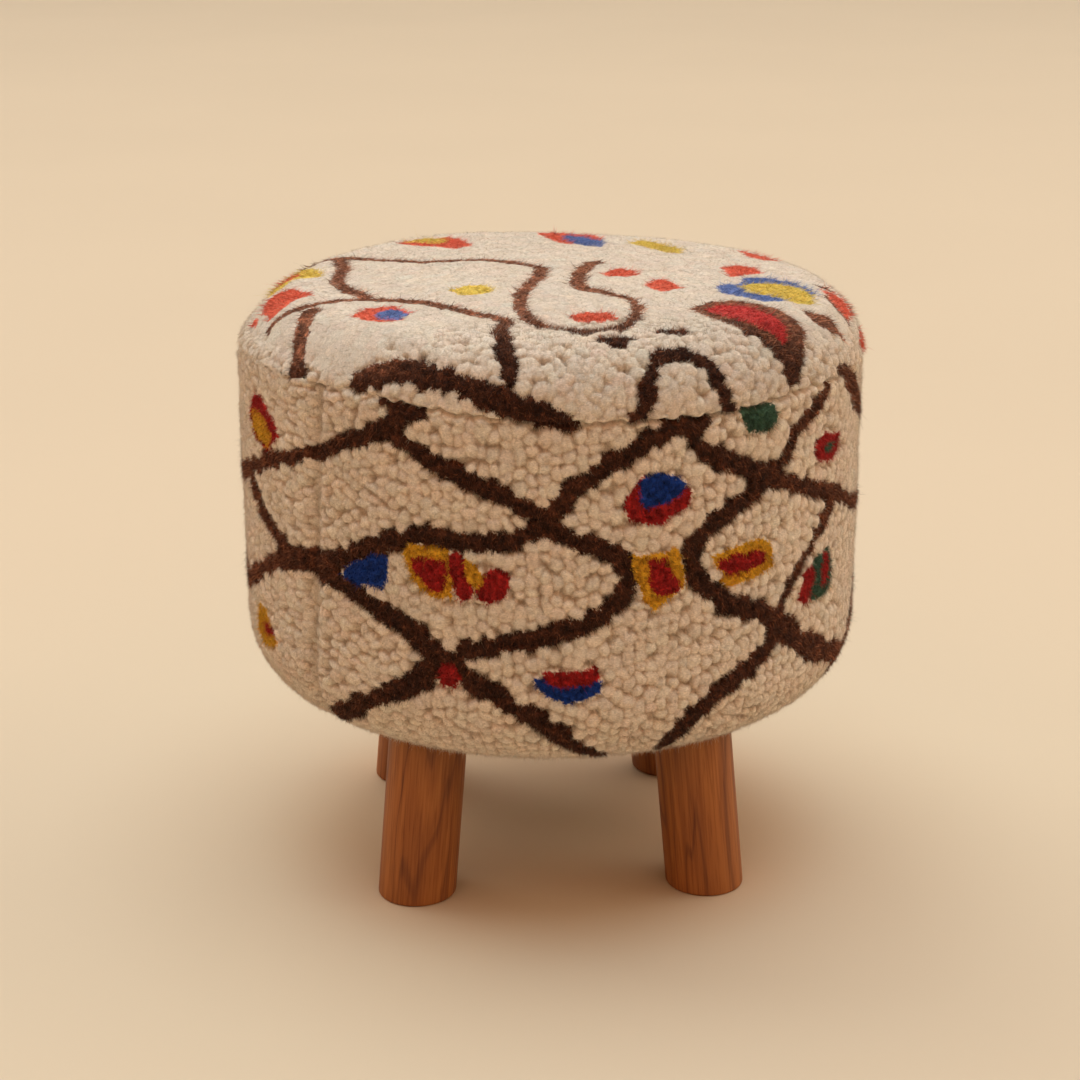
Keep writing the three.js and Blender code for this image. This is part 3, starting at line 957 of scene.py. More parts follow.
def new_piece(name: str, vertices: Array, faces: list[Array], material: Material) -> Piece:
    """Makes a mesh piece of the stool.

    Args:
        name: the piece's name.
        vertices: points as rows.
        faces: arrays of corner numbers, each array with faces of one size.
        material: its finish.

    Returns:
        The linked object, riding on the root.
    """
    mesh = bpy.data.meshes.new(name)
    sizes = np.concatenate([np.full(len(part), part.shape[1]) for part in faces])
    corners = np.concatenate([part.ravel() for part in faces]).astype(np.int32)
    mesh.vertices.add(len(vertices))
    mesh.vertices.foreach_set("co", np.ascontiguousarray(vertices, dtype=np.float32).ravel())
    mesh.loops.add(len(corners))
    mesh.loops.foreach_set("vertex_index", corners)
    mesh.polygons.add(len(sizes))
    starts = np.concatenate([[0], np.cumsum(sizes)[:-1]]).astype(np.int32)
    mesh.polygons.foreach_set("loop_start", starts)
    mesh.update(calc_edges=True)
    mesh.polygons.foreach_set("use_smooth", np.full(len(sizes), True))
    mesh.materials.append(material)
    piece = bpy.data.objects.new(name, mesh)
    bpy.context.scene.collection.objects.link(piece)
    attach(piece, "root")
    return piece


def paint_points(piece: Piece, name: str, colours: Array) -> None:
    """Stores a colour on every point of a piece.

    Args:
        piece: the piece.
        name: name of the colour layer.
        colours: one row for each point.
    """
    layer = piece.data.color_attributes.new(name, "FLOAT_COLOR", "POINT")
    full = np.ones((len(colours), 4), np.float32)
    full[:, :3] = colours
    layer.data.foreach_set("color", full.ravel())


def store_points(piece: Piece, name: str, places: Array) -> None:
    """Stores a place on every point of a piece, for its finish to run along."""
    layer = piece.data.attributes.new(name, "FLOAT_VECTOR", "POINT")
    layer.data.foreach_set("vector", np.ascontiguousarray(places, dtype=np.float32).ravel())


def lay_out(piece: Piece, places: Array) -> None:
    """Gives a piece a picture layout from a place from 0 to 1 on each of its points.

    Args:
        piece: the piece.
        places: across and down, one row for each point.
    """
    layer = piece.data.uv_layers.new(name="OFBake")
    corners = np.empty(len(piece.data.loops), np.int32)
    piece.data.loops.foreach_get("vertex_index", corners)
    layer.data.foreach_set("uv", np.ascontiguousarray(places[corners], dtype=np.float32).ravel())


@dataclass
class NodeTree:
    """A small helper that builds one material's nodes."""

    name: str

    def __post_init__(self) -> None:
        """Starts the material with a plain shader and its output."""
        self.material = bpy.data.materials.new(self.name)
        self.material.use_nodes = True
        self.tree = self.material.node_tree
        self.tree.nodes.clear()
        self.output = self.add("ShaderNodeOutputMaterial")
        self.shader = self.add("ShaderNodeBsdfPrincipled")
        self.join(self.shader, "BSDF", self.output, "Surface")

    def add(self, kind: str, values: dict | None = None, **settings: object) -> Node:
        """Adds a node with settings and socket values.

        Args:
            kind: the node's type.
            values: socket values by name or number.
            **settings: the node's own settings.

        Returns:
            The node.
        """
        node = self.tree.nodes.new(kind)
        for key, value in settings.items():
            setattr(node, key, value)
        self.set_sockets(node, values or {})
        return node

    def set_sockets(self, node: Node, values: dict) -> None:
        """Sets input values of a node."""
        for key, value in values.items():
            node.inputs[key].default_value = value

    def set_shader(self, values: dict) -> None:
        """Sets input values of the shader."""
        self.set_sockets(self.shader, values)

    def join(self, source: Node, out: str | int, target: Node, into: str | int) -> None:
        """Links an output to an input."""
        self.tree.links.new(source.outputs[out], target.inputs[into])

    def coordinates(self, scale: Triple, attribute: str = "") -> Node:
        """Object coordinates, or a stored place, times a scale.

        Args:
            scale: factors along the three axes.
            attribute: name of the stored place, if any.

        Returns:
            The node that gives them.
        """
        if attribute:
            source, out = self.add("ShaderNodeAttribute", attribute_name=attribute), "Vector"
        else:
            source, out = self.add("ShaderNodeTexCoord"), "Object"
        mapping = self.add("ShaderNodeMapping", {"Scale": scale})
        self.join(source, out, mapping, "Vector")
        return mapping

    def noise(self, where: Node, scale: float, detail: float = 2.0,
              distortion: float = 0.0) -> Node:
        """A noise texture.

        Args:
            where: node that gives the coordinates.
            scale: how fine it is.
            detail: how many finer layers it has.
            distortion: how much it is twisted.

        Returns:
            The node.
        """
        node = self.add("ShaderNodeTexNoise", {"Scale": scale, "Detail": detail, "Distortion": distortion})
        self.join(where, 0, node, "Vector")
        return node

    def ramp(self, source: Node, out: str | int,
             stops: tuple[tuple[float, Triple], ...]) -> Node:
        """A colour ramp over a value.

        Args:
            source: node that gives the value.
            out: its output.
            stops: places and colours.

        Returns:
            The node.
        """
        node = self.add("ShaderNodeValToRGB")
        elements = node.color_ramp.elements
        while len(elements) < len(stops):
            elements.new(0.5)
        for element, (place, colour) in zip(elements, stops):
            element.position = place
            element.color = (*colour, 1.0)
        self.join(source, out, node, "Fac")
        return node

    def multiply(self, first: tuple[Node, str | int],
                 second: tuple[Node, str | int], share: float = 1.0) -> Node:
        """Product of two colours.

        Args:
            first: node and output of one colour.
            second: node and output of the other.
            share: how much of the product is taken.

        Returns:
            The node, whose output 2 is the colour.
        """
        node = self.add("ShaderNodeMix", {0: share}, data_type="RGBA", blend_type="MULTIPLY")
        self.tree.links.new(first[0].outputs[first[1]], node.inputs[6])
        self.tree.links.new(second[0].outputs[second[1]], node.inputs[7])
        return node

    def bump(self, height: Node, out: str | int, strength: float, distance: float) -> None:
        """Roughens the surface by a height.

        Args:
            height: node that gives the height.
            out: its output.
            strength: from 0 to 1.
            distance: height of the steps.
        """
        node = self.add("ShaderNodeBump", {"Strength": strength, "Distance": distance})
        self.join(height, out, node, "Height")
        self.join(node, "Normal", self.shader, "Normal")


@dataclass(frozen=True)
class WoolFinish:
    """Matt knotted wool, coloured by the yarn stored on each point."""

    name: str = "wool"
    attribute: str = "yarn"
    bump_strength: float = 0.28
    glow_weight: float = 0.5

    def build(self) -> Material:
        """Makes the material.

        Returns:
            The material.
        """
        nodes = NodeTree(self.name)
        yarn = nodes.add("ShaderNodeAttribute", attribute_name=self.attribute)
        where = nodes.coordinates((1.0, 1.0, 1.0))
        strands = nodes.noise(nodes.coordinates((0.45, 1.0, 1.0)), 1500.0, 2.0, 0.6)
        flecks = nodes.noise(where, 420.0, 2.0)
        light = nodes.ramp(strands, "Fac", ((0.30, (0.80, 0.77, 0.74)), (0.68, (1.08, 1.07, 1.06))))
        cloud = nodes.ramp(flecks, "Fac", ((0.25, (0.90, 0.88, 0.86)), (0.75, (1.06, 1.06, 1.06))))
        colour = nodes.multiply((yarn, "Color"), (light, "Color"))
        colour = nodes.multiply((colour, 2), (cloud, "Color"))
        nodes.join(colour, 2, nodes.shader, "Base Color")
        nodes.shader.subsurface_method = "BURLEY"
        nodes.set_shader({
            "Subsurface Weight": self.glow_weight, "Subsurface Radius": (1.0, 0.75, 0.55),
            "Subsurface Scale": 2.0 * MM, "Roughness": 0.95, "Specular IOR Level": 0.12,
            "Sheen Weight": 0.05, "Sheen Roughness": 0.6})
        nodes.bump(strands, "Fac", self.bump_strength, 0.5 * MM)
        return nodes.material


@dataclass(frozen=True)
class LegWoodFinish:
    """Oiled reddish brown hardwood, with its grain along a stored place's third axis."""

    name: str = "leg_wood"
    rings: float = 52.0

    def build(self) -> Material:
        """Makes the material.

        Returns:
            The material.
        """
        nodes = NodeTree(self.name)
        figure_place = nodes.coordinates((1.0, 1.0, 0.10), "grain")
        figure = nodes.noise(figure_place, 30.0, 2.0, 0.5)
        wave = nodes.add("ShaderNodeMath", {1: self.rings}, operation="MULTIPLY")
        nodes.join(figure, "Fac", wave, 0)
        rings = nodes.add("ShaderNodeMath", operation="SINE")
        nodes.join(wave, 0, rings, 0)
        lifted = nodes.add("ShaderNodeMath", {1: 0.5, 2: 0.5}, operation="MULTIPLY_ADD")
        nodes.join(rings, 0, lifted, 0)
        body = nodes.ramp(lifted, 0, (
            (0.0, (0.25, 0.078, 0.018)), (0.10, (0.36, 0.118, 0.026)), (0.6, (0.39, 0.130, 0.028)),
            (1.0, (0.43, 0.150, 0.034))))
        fibre_place = nodes.coordinates((1.0, 1.0, 0.035), "grain")
        fibre = nodes.noise(fibre_place, 950.0, 3.0)
        pores = nodes.ramp(fibre, "Fac", ((0.36, (0.62, 0.54, 0.46)), (0.50, (1.0, 1.0, 1.0))))
        streak_place = nodes.coordinates((1.0, 1.0, 0.02), "grain")
        streak = nodes.noise(streak_place, 330.0, 3.0)
        streaks = nodes.ramp(streak, "Fac", ((0.34, (0.74, 0.66, 0.58)), (0.56, (1.02, 1.01, 1.0))))
        colour = nodes.multiply((body, "Color"), (pores, "Color"), 0.65)
        colour = nodes.multiply((colour, 2), (streaks, "Color"), 0.8)
        nodes.join(colour, 2, nodes.shader, "Base Color")
        nodes.set_shader({"Roughness": 0.55, "Specular IOR Level": 0.35})
        nodes.bump(fibre, "Fac", 0.25, 0.2 * MM)
        return nodes.material


@dataclass(frozen=True)
class BoardFinish:
    """Raw board wood: growth bands on the faces and thin plies across the thickness."""

    name: str
    light: Triple
    dark: Triple
    grain: Triple
    ply: float = 0.0

    def build(self) -> Material:
        """Makes the material.

        Returns:
            The material.
        """
        nodes = NodeTree(self.name)
        where = nodes.coordinates(self.grain)
        bands = nodes.noise(where, 60.0, 4.0, 1.2)
        body = nodes.ramp(bands, "Fac", ((0.35, self.dark), (0.62, self.light)))
        colour, out = body, "Color"
        if self.ply > 0:
            plies_place = nodes.coordinates((0.0, 0.0, 1.0 / self.ply))
            plies = nodes.add("ShaderNodeTexWave", {"Scale": 0.5, "Distortion": 0.4}, bands_direction="Z")
            nodes.join(plies_place, 0, plies, "Vector")
            tone = nodes.ramp(plies, "Fac", ((0.3, (0.72, 0.66, 0.6)), (0.6, (1.0, 1.0, 1.0))))
            colour, out = nodes.multiply((body, "Color"), (tone, "Color"), 0.8), 2
        nodes.join(colour, out, nodes.shader, "Base Color")
        nodes.set_shader({"Roughness": 0.72})
        nodes.bump(bands, "Fac", 0.3, 0.4 * MM)
        return nodes.material


@dataclass(frozen=True)
class SpeckFinish:
    """A plain material with fine specks: hardboard, foam, cloth, thread or plated steel."""

    name: str
    dark: Triple
    light: Triple
    scale: float
    roughness: float
    metal: float = 0.0
    bump_strength: float = 0.3
    weave: float = 0.0

    def build(self) -> Material:
        """Makes the material.

        Returns:
            The material.
        """
        nodes = NodeTree(self.name)
        where = nodes.coordinates((1.0, 1.0, 1.0))
        specks = nodes.noise(where, self.scale, 3.0)
        tone = nodes.ramp(specks, "Fac", ((0.32, self.dark), (0.68, self.light)))
        colour, out, height, rise = tone, "Color", specks, "Fac"
        if self.weave > 0:
            threads = nodes.add("ShaderNodeTexChecker", {
                "Scale": self.weave, "Color1": (1.0, 1.0, 1.0, 1.0), "Color2": (0.55, 0.55, 0.55, 1.0)})
            nodes.join(where, 0, threads, "Vector")
            colour, out = nodes.multiply((tone, "Color"), (threads, "Color"), 0.8), 2
            height, rise = threads, "Fac"
        nodes.join(colour, out, nodes.shader, "Base Color")
        nodes.set_shader({"Roughness": self.roughness, "Metallic": self.metal})
        nodes.bump(height, rise, self.bump_strength, 0.3 * MM)
        return nodes.material


@dataclass
class Finishes:
    """Every finish of the stool, made once."""

    def __post_init__(self) -> None:
        """Makes the materials."""
        self.wool = WoolFinish().build()
        self.fuzz = WoolFinish("wool_strands", bump_strength=0.2, glow_weight=0.0).build()
        self.leg = LegWoodFinish().build()
        self.board = BoardFinish("plywood", (0.60, 0.41, 0.23), (0.44, 0.28, 0.14), (1.0, 0.12, 1.0),
                                 3 * MM).build()
        self.post = BoardFinish("pine", (0.66, 0.45, 0.24), (0.50, 0.30, 0.13), (1.0, 1.0, 0.10)).build()
        self.hardboard = SpeckFinish("hardboard", (0.19, 0.10, 0.05), (0.27, 0.15, 0.075), 900.0,
                                     0.6).build()
        self.foam = SpeckFinish("foam", (0.74, 0.66, 0.44), (0.84, 0.77, 0.54), 1100.0, 0.95).build()
        self.backing = SpeckFinish("rug_back", (0.34, 0.27, 0.18), (0.50, 0.41, 0.28), 700.0, 0.9,
                                   weave=420.0, bump_strength=0.6).build()
        self.thread = SpeckFinish("thread", (0.42, 0.33, 0.22), (0.58, 0.47, 0.33), 1500.0, 0.8).build()
        self.dust = SpeckFinish("dust_cloth", (0.012, 0.012, 0.013), (0.035, 0.035, 0.037), 1300.0,
                                0.85).build()
        self.zinc = SpeckFinish("zinc", (0.50, 0.51, 0.52), (0.68, 0.68, 0.67), 260.0, 0.38,
                                metal=1.0, bump_strength=0.08).build()


def by_yarn(yarn: Array, cream: float, brown: float, other: float) -> Array:
    """A value for each place, by the kind of yarn that it has."""
    return np.select([yarn == CREAM.number, yarn == BROWN.number], [cream, brown], other)


def wave_sum(value: Array, waves: tuple[Triple, ...]) -> Array:
    """Sum of sine waves, each given by height, frequency and start."""
    return sum(height * np.sin(turns * value + start) for height, turns, start in waves)


def kept_hue(colours: Array, brightest: float = 0.93) -> Array:
    """Darkens colours that are too bright to be real, without changing their hue."""
    return colours * np.minimum(1.0, brightest / np.maximum(colours.max(axis=-1, keepdims=True), 1e-6))


@dataclass
class PileCover:
    """The knotted pile of the rug on the seat and the side, in patches that meet at its seams.

    Azimuths come with their middle and width in degrees and their strength, waves with their height
    in millimetres, frequency and start. Tints are how much red, green and blue light is lost.
    """

    drum: DrumShape
    pattern: RugPattern
    finishes: Finishes
    seat_cells: int = 620
    side_columns: int = 240
    side_rows: int = 400
    row_azimuths: tuple[Triple, ...] = ((212.0, 26.0, 0.42),)
    # Painted sheen: lighter copies of the yarns that stand in for the sheen and brighter light on the
    # brushed top.
    brushed_sheen_looks: tuple[tuple[Yarn, Triple], ...] = (
        (BROWN, (0.235, 0.088, 0.046)), (RED, (0.70, 0.056, 0.050)), (CORAL, (0.88, 0.155, 0.085)),
        (BLUE, (0.15, 0.225, 0.52)), (YELLOW, (0.90, 0.66, 0.125)))
    # Painted highlight on the side's brown yarn at the left and right.
    sheen_azimuths: tuple[Triple, ...] = ((196.0, 20.0, 1.1), (332.0, 18.0, 1.0))
    soft_azimuths: tuple[Triple, ...] = ((200.0, 24.0, 0.50), (345.0, 24.0, 0.50))
    seam_depth: float = 6.5 * MM
    shallow_seam: Triple = (205.0, 30.0, 0.82)
    seam_half_width: float = 2.0 * MM
    seat_edge_width: float = 0.9 * MM
    groove_depth: float = 4.2 * MM
    groove_half_width: float = 6.5 * MM
    swell: float = 2.8 * MM
    shoulder_cut: float = 4.0 * MM
    lip_depth: float = 0.6 * MM
    seam_waves: tuple[Triple, ...] = ((0.7, 61, 0.0), (0.6, 97, 1.1), (0.4, 151, 2.3))
    upright_waves: tuple[Triple, ...] = ((0.9, 310, 0.0), (0.7, 730, 1.0))
    # Painted shade in the creases between tufts and on the low parts of their heads.
    crease_shade_tint: Triple = (0.40, 0.48, 0.56)
    shade_tint: Triple = (0.13, 0.17, 0.21)
    # Painted shade along the grooves of the upright seams.
    groove_shade_tint: Triple = (0.17, 0.21, 0.25)
    tone_spread: float = 0.032
    warmth_spread: float = 0.014
    warmth_tint: Triple = (0.5, 0.0, -0.8)
    blush: Pair = (0.004, 0.018)
    blush_tint: Triple = (0.0, 1.0, 1.0)
    mottle_depths: Triple = (0.05, 1.05, 0.30)
    grain_spreads: Triple = (0.05, 0.40, 0.16)
    brushed_edge: Triple = (0.168, 0.30, 0.055)
    brushed_slant: Pair = (0.03, 0.12)
    brushed_rim: Triple = (0.215, 0.016, 0.3)
    # Painted shade on the brushed top, and a painted shadow spot at the front right.
    brushed_shade: float = 0.11
    shadow_place: Pair = (0.10, -0.17)
    shadow_size: Pair = (0.09, 0.08)
    shadow_dark: float = 0.12
    proud_place: Pair = (-0.06, 0.15)
    proud_size: Pair = (0.07, 0.06)
    shoulder_ring: Triple = (0.192, 0.026, 0.214)
    seat_tries: int = 60000
    side_tries: int = 120000
    seed: int = 11

    def build(self) -> list[Piece]:
        """Lays the tufts and makes the patches.

        Returns:
            The pieces.
        """
        self.rng = np.random.default_rng(self.seed)
        self.seat, self.side = self.seat_map(), self.side_map()
        return self.seat_patches() + self.side_patches()

    def seat_map(self) -> PileMap:
        """Pile of the seat, laid out flat round its middle.

        Returns:
            The pile.
        """
        reach = self.drum.wall_top_arc + 6 * MM
        pile = PileMap((-reach, -reach), (reach, reach), self.seed + 1,
                       lambda places: np.ones(len(places)), in_columns=False)
        pile.choose(lambda places: self.pattern.yarns(places, SEAT_MARKS), self.seat_tries)
        distance = np.linalg.norm(pile.places, axis=1)
        outward = pile.places / np.maximum(distance, 1 * MM)[:, None]
        droop = ramp_up(distance, 0.15, 0.06)[:, None]
        brushed = np.maximum(self.brushed(pile.places), 0.5)
        pile.paint(outward * droop, brushed)
        pile.roughen()
        self.seat_drawn = DrawnMap(pile, self.pattern, SEAT_MARKS)
        return pile

    def side_map(self) -> PileMap:
        """Pile of the side, laid out round the drum from the hidden seam.

        Returns:
            The pile.
        """
        low = (0.0, self.drum.arc_at_height(0.352))
        high = (2 * math.pi * self.drum.radius, self.drum.end_arc + 1 * MM)
        pile = PileMap(low, high, self.seed + 2, self.rows_at, in_columns=True)
        side_marks = REAR_MARKS + FRONT_MARKS + HIDDEN_REAR_MARKS + HIDDEN_FRONT_MARKS
        pile.choose(lambda places: self.pattern.yarns(places, side_marks), self.side_tries)
        lean = np.tile([0.0, 1.0], (len(pile.places), 1))
        pile.paint(lean, self.side_softness(pile.places))
        pile.roughen()
        self.side_drawn = DrawnMap(pile, self.pattern, side_marks, (0.6 * MM, 0.6 * MM))
        return pile

    def brushed(self, places: Array) -> Array:
        """How smoothly the seat's pile is brushed, least at its front edge and to the right.

        Args:
            places: flat places on the seat.

        Returns:
            From 0, knotted, to 1, smooth.
        """
        middle, slant, fade = self.brushed_edge
        start, width = self.brushed_slant
        rim, rim_fade, least = self.brushed_rim
        edge = middle + slant * np.clip(-places[..., 0] - start, 0, width)
        reach = np.hypot(places[..., 0], places[..., 1])
        return ramp_up(places[..., 1], -edge, fade) * np.clip((rim - reach) / rim_fade, least, 1)

    def spot(self, places: Array, middle: Pair, size: Pair) -> Array:
        """Soft spot on the seat that is 1 in its middle."""
        return bell(places[..., 0], middle[0], size[0]) * bell(places[..., 1], middle[1], size[1])

    def swells_at(self, places: Array, swells: tuple[Triple, ...]) -> Array:
        """Sum of smooth swells round the side, each given by azimuth, width and height."""
        azimuth = np.degrees(places[..., 0] / self.drum.radius) + self.pattern.hidden_seam
        return sum(height * bell(azimuth, at, width) for at, width, height in swells)

    def side_softness(self, places: Array) -> Array:
        """How softly the side's tufts run into each other, most at the left, the right and the foot."""
        low = ramp_up(places[..., 1], self.drum.bottom_arc - 45 * MM, 35 * MM)
        return np.clip(0.04 + self.swells_at(places, self.soft_azimuths) + 0.35 * low, 0, 0.75)

    def rows_at(self, places: Array) -> Array:
        """How much longer than tall the side's tufts are, most in the rows left of the front."""
        return 0.98 + self.swells_at(places, self.row_azimuths)

    def tuft_colours(self, pile: PileMap, places: Array) -> Array:
        """Colours of the tufts that hold flat places, each tuft a little lighter or warmer, with painted
        shade, shadow and sheen laid over them.

        Args:
            pile: the seat's or the side's pile.
            places: flat places in it.

        Returns:
            Linear colours.
        """
        owner = pile.sample("owner", places)
        yarn = self.yarn_at(pile, places)
        table = np.array([kind.value for kind in YARNS])
        tone_rng = np.random.default_rng(pile.seed)
        tone, warmth, blush = (tone_rng.normal(middle, spread, len(pile.places))[owner][..., None]
                               for middle, spread in ((1.0, self.tone_spread),
                                                      (0.0, self.warmth_spread), self.blush))
        colour = table[yarn] * tone
        colour = colour * (1 + warmth * self.warmth_tint - blush * self.blush_tint)
        mottle = by_yarn(yarn, *self.mottle_depths) * pile.sample("mottle", places)
        colour = colour * np.exp(mottle)[..., None]
        if pile is self.side:
            # Painted shade: the pile is darkened along the grooves of the upright seams.
            shaded = (self.groove(places, 4.0 * MM) / self.groove_depth)[..., None] * self.groove_shade_tint
            # Painted highlight: the side's brown is lightened at the left and right.
            return colour * self.edge_sheen(places, yarn)[..., None] * (1 - shaded)
        # Painted shade: the brushed top is darkened, and a painted shadow darkens a spot at the front
        # right.
        brushed = self.brushed(places)
        shadow = self.spot(places, self.shadow_place, self.shadow_size)
        colour = colour * (1 - self.brushed_shade * brushed - self.shadow_dark * shadow)[..., None]
        # Painted sheen: brushed places take the lighter copies of their yarns.
        for kind, look in self.brushed_sheen_looks:
            share = (brushed * (yarn == kind.number))[..., None]
            colour = colour * (1 - share + share * np.array(look) / table[kind.number])
        return colour

    def yarn_at(self, pile: PileMap, places: Array) -> Array:
        """Yarn at flat places: the tuft's own, or as drawn in motifs and where the pile is brushed.

        Args:
            pile: the seat's or the side's pile.
            places: flat places in it.

        Returns:
            Index of the yarn at each place.
        """
        own = pile.tuft_yarn[pile.sample("owner", places)]
        if pile is self.side:
            drawn = self.side_drawn.sample(places)
            plain = BROWN.number
            return np.where((own > plain) | (drawn > plain), drawn, own)
        return np.where(self.brushed(places) > 0.45, self.seat_drawn.sample(places), own)

    def edge_sheen(self, places: Array, yarn: Array) -> Array:
        """Painted highlight: how much lighter the side's brown yarn is painted at the left and right,
        standing in for light that it catches there.
        """
        return 1 + self.swells_at(places, self.sheen_azimuths) * (yarn == BROWN.number)

    def colours(self, pile: PileMap, places: Array) -> Array:
        """Wool colours of flat places, with frayed borders, and painted shade in the creases and where each
        tuft's head falls away.

        Args:
            pile: the seat's or the side's pile.
            places: flat places in it.

        Returns:
            Linear colours.
        """
        frayed = places + self.rng.normal(0, 0.5 * MM, places.shape)
        yarn = self.yarn_at(pile, frayed)
        colour = self.tuft_colours(pile, frayed)
        # Painted shade: the wool is darkened in the creases and where each tuft's head falls away.
        crease = np.clip(pile.sample("crease", places), 0, 1)[..., None]
        crease = crease * (1.0 if pile is self.side else 0.6)
        shade = np.clip(pile.sample("shade", places), 0, 1)[..., None]
        colour = colour * (1 - crease * self.crease_shade_tint)
        colour = colour * (1 - shade * self.shade_tint)
        grain = self.rng.lognormal(0, by_yarn(yarn, *self.grain_spreads))
        return kept_hue(colour * grain[..., None])

    def pile_seam_arc(self, azimuth: Array) -> Array:
        """Where the seat's pile meets the side's, a line that wanders between the tufts."""
        return self.drum.seat_seam_arc(azimuth) + wave_sum(azimuth, self.seam_waves) * MM

    def sink_at_seams(self, depth: Array, gap: Array, azimuth: Array, half_width: float) -> Array:
        """Pulls the pile down where it nears a seam.

        Args:
            depth: the pile's depth.
            gap: distance to the nearest seam.
            azimuth: in radians; the seam is shallow at the left, where the pile covers it.
            half_width: how far from the seam the pile sinks.

        Returns:
            The new depth.
        """
        share = bell(np.maximum(gap, 0), 0.0, half_width)
        azimuth_at, width, less = self.shallow_seam
        deep = self.seam_depth * (1 - less * bell(degrees_off(azimuth, azimuth_at), 0.0, width))
        return depth * (1 - share) + np.maximum(deep, depth) * share

    def seat_form(self, places: Array) -> Array:
        """How far the seat lies lower than the plain crown: proud at the rear left, cut at the left.

        Args:
            places: flat places on the seat.

        Returns:
            Depths, negative where it stands proud.
        """
        x, y = places[..., 0], places[..., 1]
        reach = np.hypot(x, y)
        ring, width, rim = self.shoulder_ring
        left = np.clip((-x - 0.6 * np.abs(y + 0.02)) / 0.12, 0, 1)
        shoulder = bell(reach, ring, width) * left * np.clip((rim - reach) / 0.012, 0, 1)
        proud = self.spot(places, self.proud_place, self.proud_size)
        return self.shoulder_cut * shoulder - self.swell * proud

    def groove(self, places: Array, half_width: float = 0.0) -> Array:
        """Depth of the soft valley along the two upright seams.

        Args:
            places: flat places on the side.
            half_width: how wide it is, if not as modelled.

        Returns:
            One depth for each place.
        """
        half = math.pi * self.drum.radius
        off = (places[..., 0] + half / 2) % half - half / 2
        return self.groove_depth * bell(off, 0.0, half_width or self.groove_half_width)

    def surface_depth(self, pile: PileMap, places: Array, azimuth: Array, arc: Array, gap: Array) -> Array:
        """Depth of the finished pile under the drum's outer form.

        Args:
            pile: the seat's or the side's pile.
            places: flat places in it.
            azimuth: in radians.
            arc: arc length from the drum's axis.
            gap: distance to the nearest seam.

        Returns:
            The depth; the side's pile thins out where it turns under the drum.
        """
        seat = pile is self.seat
        half_width = self.seat_edge_width if seat else self.seam_half_width
        depth = self.sink_at_seams(pile.sample("depth", places), gap, azimuth, half_width)
        if seat:
            return depth + self.seat_form(places)
        depth = np.minimum(depth + self.groove(places), self.seam_depth)
        fade = ramp_up(arc, self.drum.bottom_arc - 4 * MM, 8 * MM)
        return depth * (1 - fade) + self.lip_depth * fade

    def patch(self, name: str, points: Array, colours: Array) -> Piece:
        """Makes one patch from a grid of points.

        Args:
            name: the piece's name.
            points: rows and columns of points.
            colours: one for each point.

        Returns:
            The piece.
        """
        rows, columns = points.shape[:2]
        piece = new_piece(name, points.reshape(-1, 3), [grid_faces(rows, columns)],
                          self.finishes.wool)
        paint_points(piece, "yarn", colours.reshape(-1, 3))
        down, across = np.meshgrid(np.linspace(0, 1, rows), np.linspace(0, 1, columns), indexing="ij")
        lay_out(piece, np.stack([across.ravel(), down.ravel()], axis=1))
        return piece

    def seat_patches(self) -> list[Piece]:
        """The seat's four quarter patches.

        Returns:
            The pieces.
        """
        line = np.linspace(-1, 1, self.seat_cells + 1)
        a, b = np.meshgrid(line, line, indexing="ij")
        wide = np.abs(a) > np.abs(b)
        share = np.where(wide, np.abs(a), np.abs(b))
        safe_a, safe_b = np.where(a == 0, 1e-9, a), np.where(b == 0, 1e-9, b)
        angle = np.where(wide, math.pi / 4 * b / safe_a + np.where(a < 0, math.pi, 0.0),
                         math.pi / 2 - math.pi / 4 * a / safe_b + np.where(b < 0, math.pi, 0.0))
        seam = self.pile_seam_arc(angle)
        arc = share * seam
        places = polar(arc, angle)
        depth = self.surface_depth(self.seat, places, angle, arc, seam - arc)
        points = self.drum.point(angle, arc, depth)
        colours = self.colours(self.seat, places)
        half = self.seat_cells // 2
        parts = {"rear_right": (1, 1), "rear_left": (0, 1), "front_left": (0, 0), "front_right": (1, 0)}
        pieces = []
        for name, (i, j) in parts.items():
            rows, columns = slice(i * half, i * half + half + 1), slice(j * half, j * half + half + 1)
            pieces.append(self.patch(f"pile_seat_{name}", points[rows, columns], colours[rows, columns]))
        return pieces

    def side_place(self, turned: Array, share: Array) -> tuple[Array, ...]:
        """Where a place of the side panels lies.

        Args:
            turned: panel azimuth in degrees.
            share: from 0 at the seat's seam to 1 at the lip.

        Returns:
            Azimuth in radians, arc length, flat places and distance to the nearest seam.
        """
        azimuth = np.radians(turned)
        arc = self.pile_seam_arc(azimuth) * (1 - share) + self.drum.end_arc * share
        for _ in range(4):
            azimuth = np.radians(turned) + self.drum.side_seam_shift(azimuth, arc)
            arc = self.pile_seam_arc(azimuth) * (1 - share) + self.drum.end_arc * share
        around = np.radians(turned - self.pattern.hidden_seam) * self.drum.radius
        whole = 2 * math.pi * self.drum.radius
        wander = wave_sum(arc, self.upright_waves) * MM
        upright = np.abs((around + wander + whole / 4) % (whole / 2) - whole / 4)
        gap = np.minimum(upright * 0.6 + 1.2 * MM, arc - self.pile_seam_arc(azimuth))
        return azimuth, arc, np.stack([around, arc], axis=-1), gap

